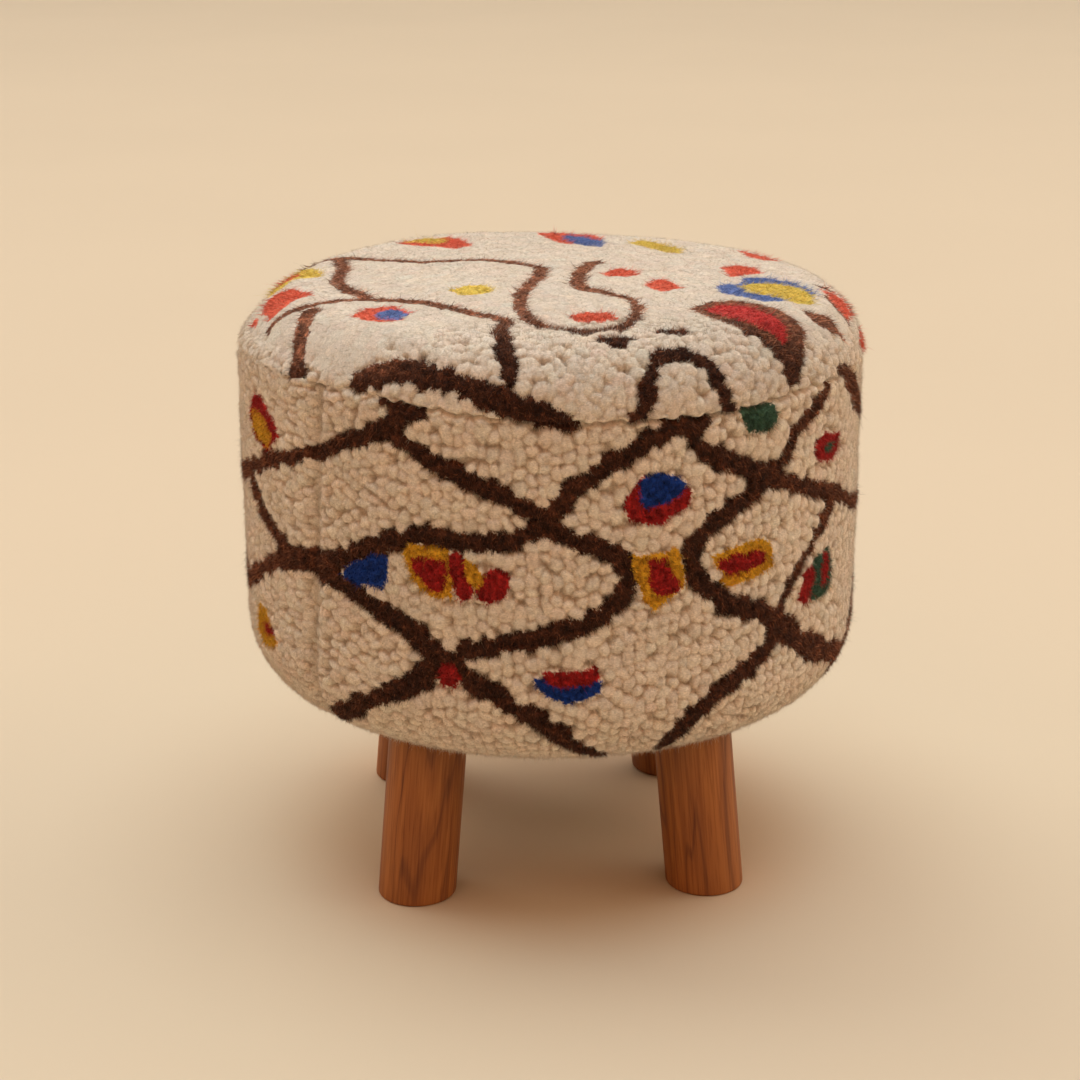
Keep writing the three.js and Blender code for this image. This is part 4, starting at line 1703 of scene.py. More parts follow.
    def side_patches(self) -> list[Piece]:
        """The side's eight patches, four to a panel.

        Returns:
            The pieces.
        """
        start = self.pattern.hidden_seam
        names = ("rear_right", "rear_left", "front_left", "front_right")
        pieces = []
        for eighth in range(8):
            name = f"{names[eighth // 2]}_{eighth % 2 + 1}"
            turned = start + eighth * 45 + np.linspace(0, 45, self.side_columns + 1)
            share, turned = np.meshgrid(np.linspace(0, 1, self.side_rows), turned, indexing="ij")
            azimuth, arc, places, gap = self.side_place(turned, share)
            points = self.drum.point(azimuth, arc, self.surface_depth(self.side, places, azimuth, arc, gap))
            pieces.append(self.patch(f"pile_side_{name}", points, self.colours(self.side, places)))
        return pieces


@dataclass
class Strands:
    """Wool fibres that stand out of the tufts, which make the pile soft."""

    cover: PileCover
    finishes: Finishes
    seat_tries: int = 230000
    side_tries: int = 520000
    cream_share: float = 0.62
    brushed_loss: float = 0.62
    root_depth: float = 0.4 * MM
    cream_stray: float = 0.38
    line_stray: float = 0.72
    sag: float = 0.30
    comb: Triple = (1.0, 0.25, 0.0)
    cream_lengths_mm: Pair = (1.3, 3.2)
    line_lengths_mm: Pair = (2.0, 4.8)
    cream_widths_mm: Pair = (0.10, 0.17)
    line_widths_mm: Pair = (0.15, 0.28)
    long_share: float = 0.05
    long_width_mm: float = 0.09
    steepest: float = 1.2
    fall_step: float = 0.7 * MM
    shade_tint: Triple = (0.20, 0.26, 0.32)
    light_share: float = 0.22
    grain_spreads: Triple = (0.07, 0.45, 0.24)
    # Painted shade at each spike's root corners and painted light at its tip.
    root_shade_tip_light: tuple[float, ...] = (0.92, 0.92, 0.92, 1.08)
    per_piece: int = 48000
    seed: int = 23

    def build(self) -> list[Piece]:
        """Grows the fibres of the seat and the side.

        Returns:
            The pieces.
        """
        self.rng = np.random.default_rng(self.seed)
        drum = self.cover.drum
        seat_arc = drum.wall_top_arc * np.sqrt(self.rng.uniform(0, 1, self.seat_tries))
        seat_angle = self.rng.uniform(0, 2 * math.pi, self.seat_tries)
        places = polar(seat_arc, seat_angle)
        gap = self.cover.pile_seam_arc(seat_angle) - seat_arc
        down = places / np.maximum(seat_arc, 1 * MM)[:, None]
        seat = self.grow("pile_strands_seat", self.cover.seat, places, down, seat_angle, seat_arc, gap)
        turned = self.cover.pattern.hidden_seam + self.rng.uniform(0, 360, self.side_tries)
        share = self.rng.uniform(0, 0.985, self.side_tries)
        azimuth, arc, places, gap = self.cover.side_place(turned, share)
        down = np.tile([0.0, 1.0], (len(places), 1))
        side = self.grow("pile_strands_side", self.cover.side, places, down, azimuth, arc, gap)
        return seat + side

    def grow(self, name: str, pile: PileMap, places: Array, flat_down: Array,
             azimuth: Array, arc: Array, gap: Array) -> list[Piece]:
        """Makes the fibres that stand at places.

        Args:
            name: start of the pieces' names.
            pile: the pile that they stand in.
            places: flat places in the pile.
            flat_down: flat direction at each place that runs down the drum.
            azimuth: in radians.
            arc: arc length from the drum's axis.
            gap: distance to the nearest seam.

        Returns:
            The pieces.
        """
        rng = self.rng
        yarn = self.cover.yarn_at(pile, places)
        likely = np.where(yarn == CREAM.number, self.cream_share, 1.0)
        if pile is self.cover.seat:
            likely = likely * (1 - self.brushed_loss * self.cover.brushed(places))
        keep = (rng.uniform(0, 1, len(places)) < likely) & (gap > 0.5 * MM)
        places, flat_down, azimuth, arc, yarn, gap = (
            values[keep] for values in (places, flat_down, azimuth, arc, yarn, gap))
        count = len(places)
        drum = self.cover.drum
        depth = self.cover.surface_depth(pile, places, azimuth, arc, gap)
        root = drum.point(azimuth, arc, depth + self.root_depth)
        out, down = drum.outward(azimuth, arc), drum.downward(azimuth, arc)
        around = np.cross(out, down)
        flat_around = np.stack([-flat_down[:, 1], flat_down[:, 0]], axis=1)
        if pile is self.cover.side:
            flat_around = -flat_around
        fall_down, fall_around = (
            self.fall(pile, places, way)[:, None] for way in (flat_down, flat_around))
        cream = yarn == CREAM.number
        sag = down * self.sag * ramp_up(arc, 0.15, 0.07)[:, None]
        stray = rng.normal(0, 1, (count, 2)) * np.where(cream, self.cream_stray, self.line_stray)[:, None]
        line = out + sag + down * (fall_down + stray[:, :1]) + around * (fall_around + stray[:, 1:])
        combed = np.zeros((count, 1))
        if pile is self.cover.seat:
            combed = self.cover.brushed(places)[:, None]
            comb = np.array(self.comb) * np.sign(rng.normal(0.4, 1, (count, 1)))
            line = line * (1 - 0.62 * combed) + comb * combed * rng.uniform(0.4, 1.3, (count, 1))
        line /= np.linalg.norm(line, axis=1, keepdims=True)
        bend = out * rng.normal(-0.15, 0.2, (count, 1)) + sag + down * rng.normal(0, 0.25, (count, 1))
        lengths = [rng.uniform(*limits, count)
                   for limits in (self.cream_lengths_mm, self.line_lengths_mm)]
        low_down = ramp_up(arc, drum.bottom_arc - 25 * MM, 20 * MM)
        length = np.where(cream, *lengths) * (1 + 0.5 * combed[:, 0]) * (1 + low_down)
        long_ones = rng.uniform(0, 1, count) < self.long_share
        length = np.where(long_ones, length * 2.0, length) * MM
        widths = [rng.uniform(*limits, count) for limits in (self.cream_widths_mm, self.line_widths_mm)]
        width = np.where(long_ones, self.long_width_mm, np.where(cream, *widths))
        width = width * (1 - 0.25 * combed[:, 0]) * MM
        colours = self.colours(pile, places, yarn)
        pieces = []
        for part, start in enumerate(range(0, count, self.per_piece)):
            rows = slice(start, start + self.per_piece)
            pieces.append(self.piece(f"{name}_{part + 1}", root[rows], line[rows], bend[rows],
                                     length[rows], width[rows], colours[rows]))
        return pieces

    def fall(self, pile: PileMap, places: Array, way: Array) -> Array:
        """How steeply the pile falls away along a flat direction, within a limit."""
        ahead, behind = (pile.sample("depth", places + way * side * self.fall_step) for side in (1, -1))
        return np.clip((ahead - behind) / (2 * self.fall_step), -self.steepest, self.steepest)

    def colours(self, pile: PileMap, places: Array, yarn: Array) -> Array:
        """Colours of single fibres, more varied than the tufts they stand in.

        Args:
            pile: the pile that they stand in.
            places: flat places in it.
            yarn: their yarns.

        Returns:
            Linear colours.
        """
        rng = self.rng
        count = len(yarn)
        colour = self.cover.tuft_colours(pile, places)
        shade = np.clip(pile.sample("shade", places), 0, 1)[:, None]
        colour = colour * (1 - shade * self.shade_tint)
        colour = colour * rng.lognormal(0, by_yarn(yarn, *self.grain_spreads))[:, None]
        brown = yarn == BROWN.number
        light = brown & (rng.uniform(0, 1, count) < self.light_share)
        colour[light] = colour[light] * rng.uniform(1.8, 4.0, (int(light.sum()), 1)) * [1.0, 1.15, 1.2]
        return kept_hue(colour)

    def piece(self, name: str, root: Array, line: Array, bend: Array,
              length: Array, width: Array, colours: Array) -> Piece:
        """Makes closed three-sided spikes.

        Args:
            name: the piece's name.
            root: where each spike starts.
            line: its direction.
            bend: how far its tip leans off that line.
            length: its length.
            width: its radius.
            colours: its colour.

        Returns:
            The piece.
        """
        count = len(root)
        helper = np.where(np.abs(line[:, 2:]) > 0.9, [[1.0, 0, 0]], [[0, 0, 1.0]])
        side = np.cross(line, helper)
        side /= np.linalg.norm(side, axis=1, keepdims=True)
        other = np.cross(line, side)
        tip = root + (line + bend * 0.5) * length[:, None]
        points = np.empty((count, 4, 3))
        for k in range(3):
            angle = 2 * math.pi * k / 3
            offset = side * math.cos(angle) + other * math.sin(angle)
            points[:, k] = root + offset * width[:, None]
        points[:, 3] = tip
        base = np.arange(count)[:, None] * 4
        faces = np.concatenate([base + [0, 2, 1], base + [0, 1, 3], base + [1, 2, 3], base + [2, 0, 3]])
        piece = new_piece(name, points.reshape(-1, 3), [faces], self.finishes.fuzz)
        # Painted shade and light: each spike's root corners are darkened and its tip lightened.
        shade = np.array(self.root_shade_tip_light)[None, :, None]
        paint_points(piece, "yarn", kept_hue(colours[:, None, :] * shade).reshape(-1, 3))
        row, column = np.divmod(np.arange(count), int(math.sqrt(count)) + 1)
        cell = 1.0 / (int(math.sqrt(count)) + 1)
        corner = np.array([[0.1, 0.1], [0.9, 0.1], [0.5, 0.9], [0.5, 0.5]])
        layout = (np.stack([column, row], axis=1)[:, None, :] + corner[None]) * cell
        lay_out(piece, layout.reshape(-1, 2))
        return piece


def ring_faces(rings: int, sides: int, closed: bool = False) -> Array:
    """Four-sided faces between rings of points, where closed joins the last ring to the first.

    Args:
        rings: number of rings.
        sides: number of points in a ring.
        closed: whether the last ring joins the first.

    Returns:
        Four corner numbers in each row.
    """
    i, j = np.meshgrid(np.arange(rings if closed else rings - 1), np.arange(sides), indexing="ij")
    after, beside = (i + 1) % rings, (j + 1) % sides
    corners = [i * sides + j, i * sides + beside, after * sides + beside, after * sides + j]
    return np.stack(corners, axis=-1).reshape(-1, 4)


def cap_faces(rings: int, sides: int) -> Array:
    """Triangles that close both ends of a stack of rings with two middle points after the rings.

    Args:
        rings: number of rings.
        sides: number of points in a ring.

    Returns:
        Three corner numbers in each row.
    """
    j = np.arange(sides)
    beside, last = (j + 1) % sides, (rings - 1) * sides
    bottom = np.stack([np.full(sides, rings * sides), beside, j], axis=1)
    top = np.stack([np.full(sides, rings * sides + 1), last + j, last + beside], axis=1)
    return np.concatenate([bottom, top])


def tube(path: Array, radius: Array, closed: bool) -> tuple[Array, Array]:
    """Skin of a tube along a path.

    Args:
        path: its middle line, as rows.
        radius: radius for each point and each side, which gives the tube its sides.
        closed: whether the end joins the start.

    Returns:
        Points, and four-sided faces.
    """
    ahead = np.roll(path, -1, axis=0) - np.roll(path, 1, axis=0)
    if not closed:
        ahead[0], ahead[-1] = path[1] - path[0], path[-1] - path[-2]
    ahead /= np.linalg.norm(ahead, axis=1, keepdims=True)
    inward = -path * [1, 1, 0]
    inward -= (inward * ahead).sum(axis=1, keepdims=True) * ahead
    inward /= np.linalg.norm(inward, axis=1, keepdims=True)
    other = np.cross(ahead, inward)
    sides = radius.shape[1]
    angle = np.linspace(0, 2 * math.pi, sides, endpoint=False)
    ring = inward[:, None] * np.cos(angle)[None, :, None] + other[:, None] * np.sin(angle)[None, :, None]
    points = path[:, None] + ring * radius[..., None]
    return points.reshape(-1, 3), ring_faces(len(path), sides, closed)


def turned_body(profile: Array, facets: int) -> tuple[Array, list[Array]]:
    """Closed body turned round the Z axis.

    Args:
        profile: radius and height rows, from the lower end of the axis to the upper end, where
            a first and last radius of zero close the body; otherwise the profile is a ring.
        facets: number of facets round.

    Returns:
        Points, and lists of faces.
    """
    angle = np.linspace(0, 2 * math.pi, facets, endpoint=False)
    off_axis = profile[:, 0] > 1e-9
    body = profile[off_axis]
    height = np.repeat(body[:, 1:], facets, axis=1)
    points = polar(body[:, :1], angle, height).reshape(-1, 3)
    if off_axis.all():
        return points, [ring_faces(len(body), facets, closed=True)]
    ends = [[0, 0, profile[0, 1]], [0, 0, profile[-1, 1]]]
    faces = [ring_faces(len(body), facets), cap_faces(len(body), facets)]
    return np.concatenate([points, ends]), faces


def arc_points(centre: Pair, radius: float, start: float, end: float,
               count: int) -> list[Pair]:
    """Points on an arc, with angles in degrees."""
    angles = np.radians(np.linspace(start, end, count))
    return [(centre[0] + radius * math.cos(a), centre[1] + radius * math.sin(a)) for a in angles]


@dataclass
class RugBacking:
    """The woven back of the rug, stretched over the foam, one sheet to a panel."""

    drum: DrumShape
    finishes: Finishes
    hidden_seam: float
    depth: float = 11 * MM

    def build(self, pile: list[Piece]) -> list[Piece]:
        """Makes the three sheets.

        Args:
            pile: every piece of pile; not used.

        Returns:
            The sheets.
        """
        seam = self.drum.wall_top_arc
        round_drum = np.linspace(0, 2 * math.pi, 145)
        share, angle = np.meshgrid(np.linspace(0.002, 1, 46), round_drum, indexing="ij")
        seat = self.sheet_piece("rug_back_seat", angle, share * seam)
        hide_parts("cover_top_panel")
        sheets = [seat]
        for name, start in (("rear", self.hidden_seam), ("front", self.hidden_seam + 180)):
            turned = np.radians(start + np.linspace(0.6, 179.4, 97))
            share, angle = np.meshgrid(np.linspace(0, 1, 60), turned, indexing="ij")
            arc = seam + share * (self.drum.bottom_arc - seam)
            side = self.sheet_piece(f"rug_back_{name}", angle, arc)
            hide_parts(f"cover_side_{name}")
            sheets.append(side)
        return sheets

    def sheet_piece(self, name: str, angle: Array, arc: Array) -> Piece:
        """Makes one sheet under the pile.

        Args:
            name: the piece's name.
            angle: azimuths of its grid.
            arc: arc lengths of its grid.

        Returns:
            The piece.
        """
        points = self.drum.point(angle, arc, np.full(arc.shape, self.depth))
        return new_piece(name, points.reshape(-1, 3), [grid_faces(*arc.shape)],
                         self.finishes.backing)


@dataclass
class SeamCords:
    """The twisted cords that whip the rug's panels together."""

    drum: DrumShape
    finishes: Finishes
    radius: float = 1.2 * MM
    depth: float = 9.6 * MM
    twist: float = 5 * MM

    def build(self) -> list[Piece]:
        """Makes the ring under the seat's edge and the two upright cords.

        Returns:
            The cords.
        """
        angle = np.linspace(0, 2 * math.pi, 900, endpoint=False)
        arc = self.drum.seat_seam_arc(angle)
        ring = self.cord_piece("seam_cord_seat", angle, arc, True)
        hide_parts("seat_seam_cord")
        cords = [ring]
        for name, middle in (("left", self.drum.seam_azimuth), ("right", self.drum.seam_azimuth - 180)):
            start = float(self.drum.seat_seam_arc(np.radians(middle)))
            arc = np.linspace(start + 6 * MM, self.drum.bottom_arc - 12 * MM, 260)
            angle = np.full(len(arc), math.radians(middle))
            for _ in range(4):
                angle = math.radians(middle) + self.drum.side_seam_shift(angle, arc)
            piece = self.cord_piece(f"seam_cord_{name}", angle, arc, False)
            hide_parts(f"side_seam_cord_{name}")
            cords.append(piece)
        return cords

    def cord_piece(self, name: str, angle: Array, arc: Array, closed: bool) -> Piece:
        """Makes one cord of two twisted plies.

        Args:
            name: the piece's name.
            angle: azimuths along it.
            arc: arc lengths along it.
            closed: whether it is a ring.

        Returns:
            The piece.
        """
        path = self.drum.point(angle, arc, np.full(len(arc), self.depth))
        run = np.concatenate([[0.0], np.cumsum(np.linalg.norm(np.diff(path, axis=0), axis=1))])
        turns = max(round(run[-1] / self.twist), 1)
        phase = run / run[-1] * turns * 2 * math.pi
        around = np.linspace(0, 2 * math.pi, 10, endpoint=False)
        radius = self.radius * (1 + 0.16 * np.cos(2 * (around[None, :] - phase[:, None])))
        points, faces = tube(path, radius, closed)
        return new_piece(name, points, [faces], self.finishes.thread)


@dataclass
class Padding:
    """The foam under the rug: a crowned seat pad and a jacket round the drum."""

    drum: DrumShape
    finishes: Finishes
    clearance: float = 12.7 * MM
    gap: float = 0.4 * MM
    facets: int = 120

    def build(self) -> list[Piece]:
        """Makes both pads."""
        return [self.seat_pad(), self.side_pad()]

    def seat_pad(self) -> Piece:
        """Makes the crowned pad on the seat board.

        Returns:
            The pad.
        """
        drum, bottom = self.drum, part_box("seat_foam")[0].z + 0.2 * MM
        inner = drum.radius - drum.edge_round
        arc = np.linspace(0, drum.shoulder_arc, 24)
        height = np.interp(arc, drum.arc, drum.z) - self.clearance
        crown = np.stack([np.interp(arc, drum.arc, drum.r), height], axis=1)
        centre = drum.seat_height - drum.crown_rise - drum.edge_round
        edge = arc_points((inner, centre), drum.edge_round - self.clearance, 90, 0, 16)
        outer = drum.radius - self.clearance - self.gap
        profile = [(0.0, bottom), (outer - 5 * MM, bottom), (outer - 1 * MM, bottom + 2 * MM),
                   *reversed(edge), *[tuple(p) for p in crown[::-1][1:]]]
        profile[-1] = (0.0, profile[-1][1])
        return self.pad("seat_pad", np.array(profile), "seat_foam")

    def side_pad(self) -> Piece:
        """Makes the jacket round the drum's skin.

        Returns:
            The pad.
        """
        low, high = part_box("side_foam")
        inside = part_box("drum_skin")[1].x + 0.5 * MM
        outside, top = high.x - self.gap, high.z - 0.3 * MM
        drum = self.drum
        corner = (drum.radius - drum.base_round, drum.base_height + drum.base_round)
        arc = arc_points(corner, drum.base_round - self.clearance, -86, 0, 14)
        under = [p for p in arc if p[0] > inside + 1 * MM]
        profile = [(inside, max(low.z, under[0][1]) + 0.3 * MM), *under, (outside, top - 4 * MM),
                   (outside - 3 * MM, top), (inside + 1 * MM, top), (inside, top - 2 * MM)]
        return self.pad("side_pad", np.array(profile), "side_foam")

    def pad(self, name: str, profile: Array, node: str) -> Piece:
        """Makes one pad with the slight hollows that glued foam has.

        Args:
            name: the piece's name.
            profile: radius and height rows.
            node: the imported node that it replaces.

        Returns:
            The pad.
        """
        points, faces = turned_body(profile, self.facets)
        angle = np.arctan2(points[:, 1], points[:, 0])
        wave = 1 - 0.0022 * (1 + np.cos(5 * angle + 40 * points[:, 2])) / 2
        points[:, :2] *= np.where(np.hypot(points[:, 0], points[:, 1]) > 0.16, wave, 1.0)[:, None]
        piece = new_piece(name, points, faces, self.finishes.foam)
        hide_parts(node)
        return piece


@dataclass
class UnderCloths:
    """The rug's turned-in hem and the black dust cover, cut out round the leg plates."""

    finishes: Finishes
    hem_width: float = 28 * MM
    cut_half: float = 29.1 * MM
    mesh_step: float = 4 * MM
    hem_rings: int = 8
    staple_count: int = 32
    seed: int = 5

    def build(self) -> list[Piece]:
        """Makes the hem, the dust cover and the staples.

        Returns:
            The pieces.
        """
        low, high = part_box("cover_hem")
        outer, inner, bottom = high.x, high.x - self.hem_width, low.z
        rng = np.random.default_rng(self.seed)

        def hem_height(radius: Array, azimuth: Array) -> Array:
            """Height of the hem, whose two edges lift a little."""
            edge = np.clip(1 - np.minimum(radius - inner, outer - radius) / (3 * MM), 0, 1)
            return bottom + 0.5 * MM + 2.0 * MM * edge**2 + rng.uniform(0, 0.25 * MM, len(radius))

        hem = self.cloth("hem_strip", inner, outer, self.finishes.backing, hem_height)
        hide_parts("cover_hem")
        low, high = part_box("dust_cover")
        reach, top = high.x, high.z

        def dust_height(radius: Array, azimuth: Array) -> Array:
            """Height of the dust cover, which sags in the middle and ripples at its edge.

            Args:
                radius: distances from the axis.
                azimuth: in radians.

            Returns:
                One height for each place.
            """
            sag = np.cos(np.clip(radius / 0.10, 0, 1) * math.pi / 2) ** 2
            ripple = np.sin(azimuth * 16) * np.clip((radius - 0.06) / 0.06, 0, 1)
            return top - 0.3 * MM - 1.6 * MM * sag - 0.2 * MM * (1 + ripple)

        dust = self.cloth("dust_sheet", 0.0, reach, self.finishes.dust, dust_height)
        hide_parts("dust_cover")
        return [hem, dust, *self.staples(reach - 5 * MM, low.z)]

    def in_cut(self, places: Array, margin: float = 0.0) -> Array:
        """True for flat places within a cut-out for a leg plate.

        Args:
            places: flat places as rows.
            margin: how much larger the cut-outs are taken.

        Returns:
            True or false for each place.
        """
        inside = np.zeros(len(places), bool)
        for azimuth in CORNERS.values():
            angle = math.radians(azimuth)
            x = places[:, 0] * math.cos(angle) + places[:, 1] * math.sin(angle) - PLATE_CIRCLE
            y = places[:, 1] * math.cos(angle) - places[:, 0] * math.sin(angle)
            inside |= (np.abs(x) < self.cut_half + margin) & (np.abs(y) < self.cut_half + margin)
        return inside

    def cloth(self, name: str, inner: float, outer: float, material: Material,
              height: Callable[[Array, Array], Array]) -> Piece:
        """Makes a ring or disc of cloth with the four cut-outs.

        Args:
            name: the piece's name.
            inner: inner radius, zero for a disc.
            outer: outer radius.
            material: its finish.
            height: gives the height at radii and azimuths.

        Returns:
            The piece.
        """
        rings = self.hem_rings if inner else int(outer / self.mesh_step) + 1
        radii = np.linspace(inner, outer, rings)
        places = [] if inner else [(0.0, 0.0)]
        for r in radii[radii > 0]:
            count = max(int(2 * math.pi * r / self.mesh_step), 6)
            places += arc_points((0, 0), r, 0, 360 * (1 - 1 / count), count)
        places = [p for p, cut in zip(places, self.in_cut(np.array(places), 0.6 * MM)) if not cut]
        edges: list[tuple[int, int]] = []
        near, far, half = PLATE_CIRCLE - self.cut_half, PLATE_CIRCLE + self.cut_half, self.cut_half
        corners = [(near, -half), (far, -half), (far, half), (near, half)]
        line = [(a[0] + share * (b[0] - a[0]), a[1] + share * (b[1] - a[1]))
                for a, b in zip(corners, corners[1:] + corners[:1]) for share in np.linspace(0, 1, 13)[:-1]]
        for azimuth in CORNERS.values():
            cos, sin, start = math.cos(math.radians(azimuth)), math.sin(math.radians(azimuth)), len(places)
            places += [(x * cos - y * sin, x * sin + y * cos) for x, y in line]
            edges += [(start + i, start + (i + 1) % len(line)) for i in range(len(line))]
        found = delaunay_2d_cdt([tuple(map(float, p)) for p in places], edges, [], 0, 1e-6)
        points = np.array([tuple(p) for p in found[0]])
        triangles = np.array([f for f in found[2] if len(f) == 3])
        middle = points[triangles].mean(axis=1)
        radius = np.hypot(middle[:, 0], middle[:, 1])
        keep = ~self.in_cut(middle) & (radius > inner * 0.999) & (radius < outer)
        reach = np.hypot(points[:, 0], points[:, 1])[triangles].max(axis=1)
        triangles = triangles[keep & (reach < outer + 0.1 * MM)]
        used, faces = np.unique(triangles, return_inverse=True)
        x, y = points[used].T
        raised = np.stack([x, y, height(np.hypot(x, y), np.arctan2(y, x))], axis=1)
        return new_piece(name, raised, [faces.reshape(-1, 3)[:, ::-1]], material)

    def staples(self, ring: float, cloth_bottom: float) -> list[Piece]:
        """Makes the staples through the dust cover's edge, on a ring and under the cloth.

        Args:
            ring: radius of the ring.
            cloth_bottom: height of the cloth's lower side.

        Returns:
            The staples.
        """
        crown, leg, wire = 9 * MM, 2 * MM, 0.55 * MM
        places = arc_points((0, 0), ring, 0, 360 * (1 - 1 / self.staple_count), self.staple_count)
        clear = [place for place, cut in zip(places, self.in_cut(np.array(places), 5 * MM)) if not cut]
        rng = np.random.default_rng(self.seed)
        pieces = []
        for number, (x, y) in enumerate(clear, 1):
            angle = math.atan2(y, x) + math.pi / 2 + rng.normal(0, 0.12)
            along = crown * np.array([math.cos(angle), math.sin(angle), 0.0])
            middle = np.array([x, y, cloth_bottom - wire])
            path = [middle - along / 2 + [0, 0, leg]]
            path += [middle + along * (share - 0.5) - [0, 0, wire * 0.6 * share * (1 - share)]
                     for share in np.linspace(0, 1, 5)]
            path.append(middle + along / 2 + [0, 0, leg])
            points, faces = tube(np.array(path), np.full((len(path), 6), wire), False)
            pieces.append(new_piece(f"dust_staple_{number}", points, [faces],
                                    self.finishes.zinc))
        return pieces


@dataclass
class Legs:
    """Four round dowel legs, splayed outwards and cut flat to the floor."""

    finishes: Finishes
    radius: float = 25 * MM
    splay: float = math.radians(7)
    board_bottom: float = 130.3 * MM
    top_gap: float = 6.67 * MM
    facets: int = 96
    rounding: float = 2.0 * MM

    def build(self) -> list[Piece]:
        """Makes every leg."""
        return [self.leg(name, math.radians(azimuth), number)
                for number, (name, azimuth) in enumerate(CORNERS.items())]

    def leg(self, name: str, azimuth: float, number: int) -> Piece:
        """Makes one leg with eased ends.

        Args:
            name: its corner.
            azimuth: direction of its foot from the middle, in radians.
            number: turns its grain, so that no two legs look alike.

        Returns:
            The leg.
        """
        out = np.array([math.cos(azimuth), math.sin(azimuth), 0.0])
        axis = out * math.sin(self.splay) - [0, 0, math.cos(self.splay)]
        start = out * PLATE_CIRCLE + [0, 0, self.board_bottom] + axis * self.top_gap
        first = np.cross(axis, [0.0, 0.0, 1.0])
        first /= np.linalg.norm(first)
        second = np.cross(axis, first)
        angle = np.linspace(0, 2 * math.pi, self.facets, endpoint=False)
        ring = np.cos(angle)[:, None] * first + np.sin(angle)[:, None] * second
        eased = [(self.radius - self.rounding * (1 - math.cos(t)), self.rounding * (1 - math.sin(t)))
                 for t in np.linspace(0, math.pi / 2, 6)]
        rows = [start + ring * r + axis * drop for r, drop in eased[::-1]]
        widest = rows[-1]
        reach = widest[:, 2] / math.cos(self.splay) - self.rounding
        rows += [widest + axis * (reach * share)[:, None] for share in np.linspace(0, 1, 24)[1:-1]]
        for r, drop in eased:
            foot = start + ring * r
            rows.append(foot + axis * ((foot[:, 2] - drop) / math.cos(self.splay))[:, None])
        body = np.concatenate([*rows, [rows[0].mean(axis=0), rows[-1].mean(axis=0)]])
        faces = [ring_faces(len(rows), self.facets)[:, [0, 3, 2, 1]],
                 cap_faces(len(rows), self.facets)[:, [0, 2, 1]]]
        piece = new_piece(f"dowel_{name}", body, faces, self.finishes.leg)
        local = body - start
        turn = 1.1 + 1.7 * number
        across, beyond = local @ first, local @ second
        grain = np.stack([across * math.cos(turn) - beyond * math.sin(turn) + 0.061 * number + 0.018,
                          across * math.sin(turn) + beyond * math.cos(turn) + 0.037 * number,
                          local @ axis + 0.5 * number], axis=1)
        store_points(piece, "grain", grain)
        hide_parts(f"leg_{name}")
        return piece


@dataclass
class PlateScrews:
    """Pan head screws with countersunk middles that hold the leg plates."""

    finishes: Finishes
    facets: int = 28
    pitch: float = 1.3 * MM
    tip: float = 4 * MM

    def build(self) -> list[Piece]:
        """Makes the sixteen screws in the places of the plain ones."""
        return [self.screw(corner, number) for corner in CORNERS for number in range(1, 5)]

    def screw(self, corner: str, number: int) -> Piece:
        """Makes one screw, head down.

        Args:
            corner: the leg plate's corner.
            number: which of its four screws.

        Returns:
            The screw.
        """
        node = f"plate_screw_{corner}_{number}"
        low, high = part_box(node)
        head, bottom, top = (high.x - low.x) / 2, low.z, high.z
        dome = [(head * math.cos(t), bottom + 1.2 * MM * (1 - math.sin(t)))
                for t in np.linspace(0.1, math.pi / 2 - 0.45, 7)]
        rows = [(0.0, bottom + 0.9 * MM), (0.5 * MM, bottom + 0.8 * MM), (1.1 * MM, bottom + 0.05 * MM),
                *dome[::-1], (head, bottom + 1.9 * MM), (head * 0.96, bottom + 2.1 * MM)]
        shank, z = head * 0.55, bottom + 2.2 * MM
        rows.append((shank, z))
        while z < top - self.tip:
            rows += [(shank, z + 0.5 * MM), (shank * 0.78, z + 0.9 * MM)]
            z += self.pitch
        rows += [(shank * 0.8, top - 3.4 * MM), (0.0, top)]
        points, faces = turned_body(np.array(rows), self.facets)
        points[:, :2] += [(low.x + high.x) / 2, (low.y + high.y) / 2]
        piece = new_piece(f"screw_{corner}_{number}", points, faces, self.finishes.zinc)
        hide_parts(node)
        return piece


@dataclass
class WoodenFrame:
    """Boards, posts, skin, plates and bolts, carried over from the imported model."""

    finishes: Finishes

    def build(self) -> list[Piece]:
        """Gives every carried-over node its finish.

        Returns:
            The nodes' objects.
        """
        plan = {"base_board": self.finishes.board, "seat_board": self.finishes.board,
                "drum_skin": self.finishes.hardboard}
        plan |= {f"post_{side}": self.finishes.post for side in SIDES}
        metal = [f"post_screw_{level}_{side}" for level in ("lower", "upper") for side in SIDES]
        metal += [f"{kind}_{corner}" for kind in ("leg_plate", "hanger_bolt") for corner in CORNERS]
        plan |= dict.fromkeys(metal, self.finishes.zinc)
        for name, material in plan.items():
            materials = bpy.data.objects[name].data.materials
            materials.clear()
            materials.append(material)
        return [bpy.data.objects[name] for name in plan]


@dataclass(frozen=True)
class Lamp:
    """A broad soft light far away, by the direction that it comes from.

    An azimuth of 0 is from the right and 90 from behind the stool.
    """

    name: str
    elevation: float
    azimuth: float
    strength: Triple
    angle: float = 50.0

    def build(self) -> None:
        """Makes the light."""
        data = bpy.data.lights.new(self.name, "SUN")
        data.energy = max(self.strength)
        data.color = [part / data.energy for part in self.strength]
        data.angle = math.radians(self.angle)
        light = bpy.data.objects.new(self.name, data)
        up, around = math.radians(self.elevation), math.radians(self.azimuth)
        towards = Vector((math.cos(up) * math.cos(around), math.cos(up) * math.sin(around), math.sin(up)))
        light.rotation_euler = towards.to_track_quat("Z", "Y").to_euler()
        bpy.context.scene.collection.objects.link(light)


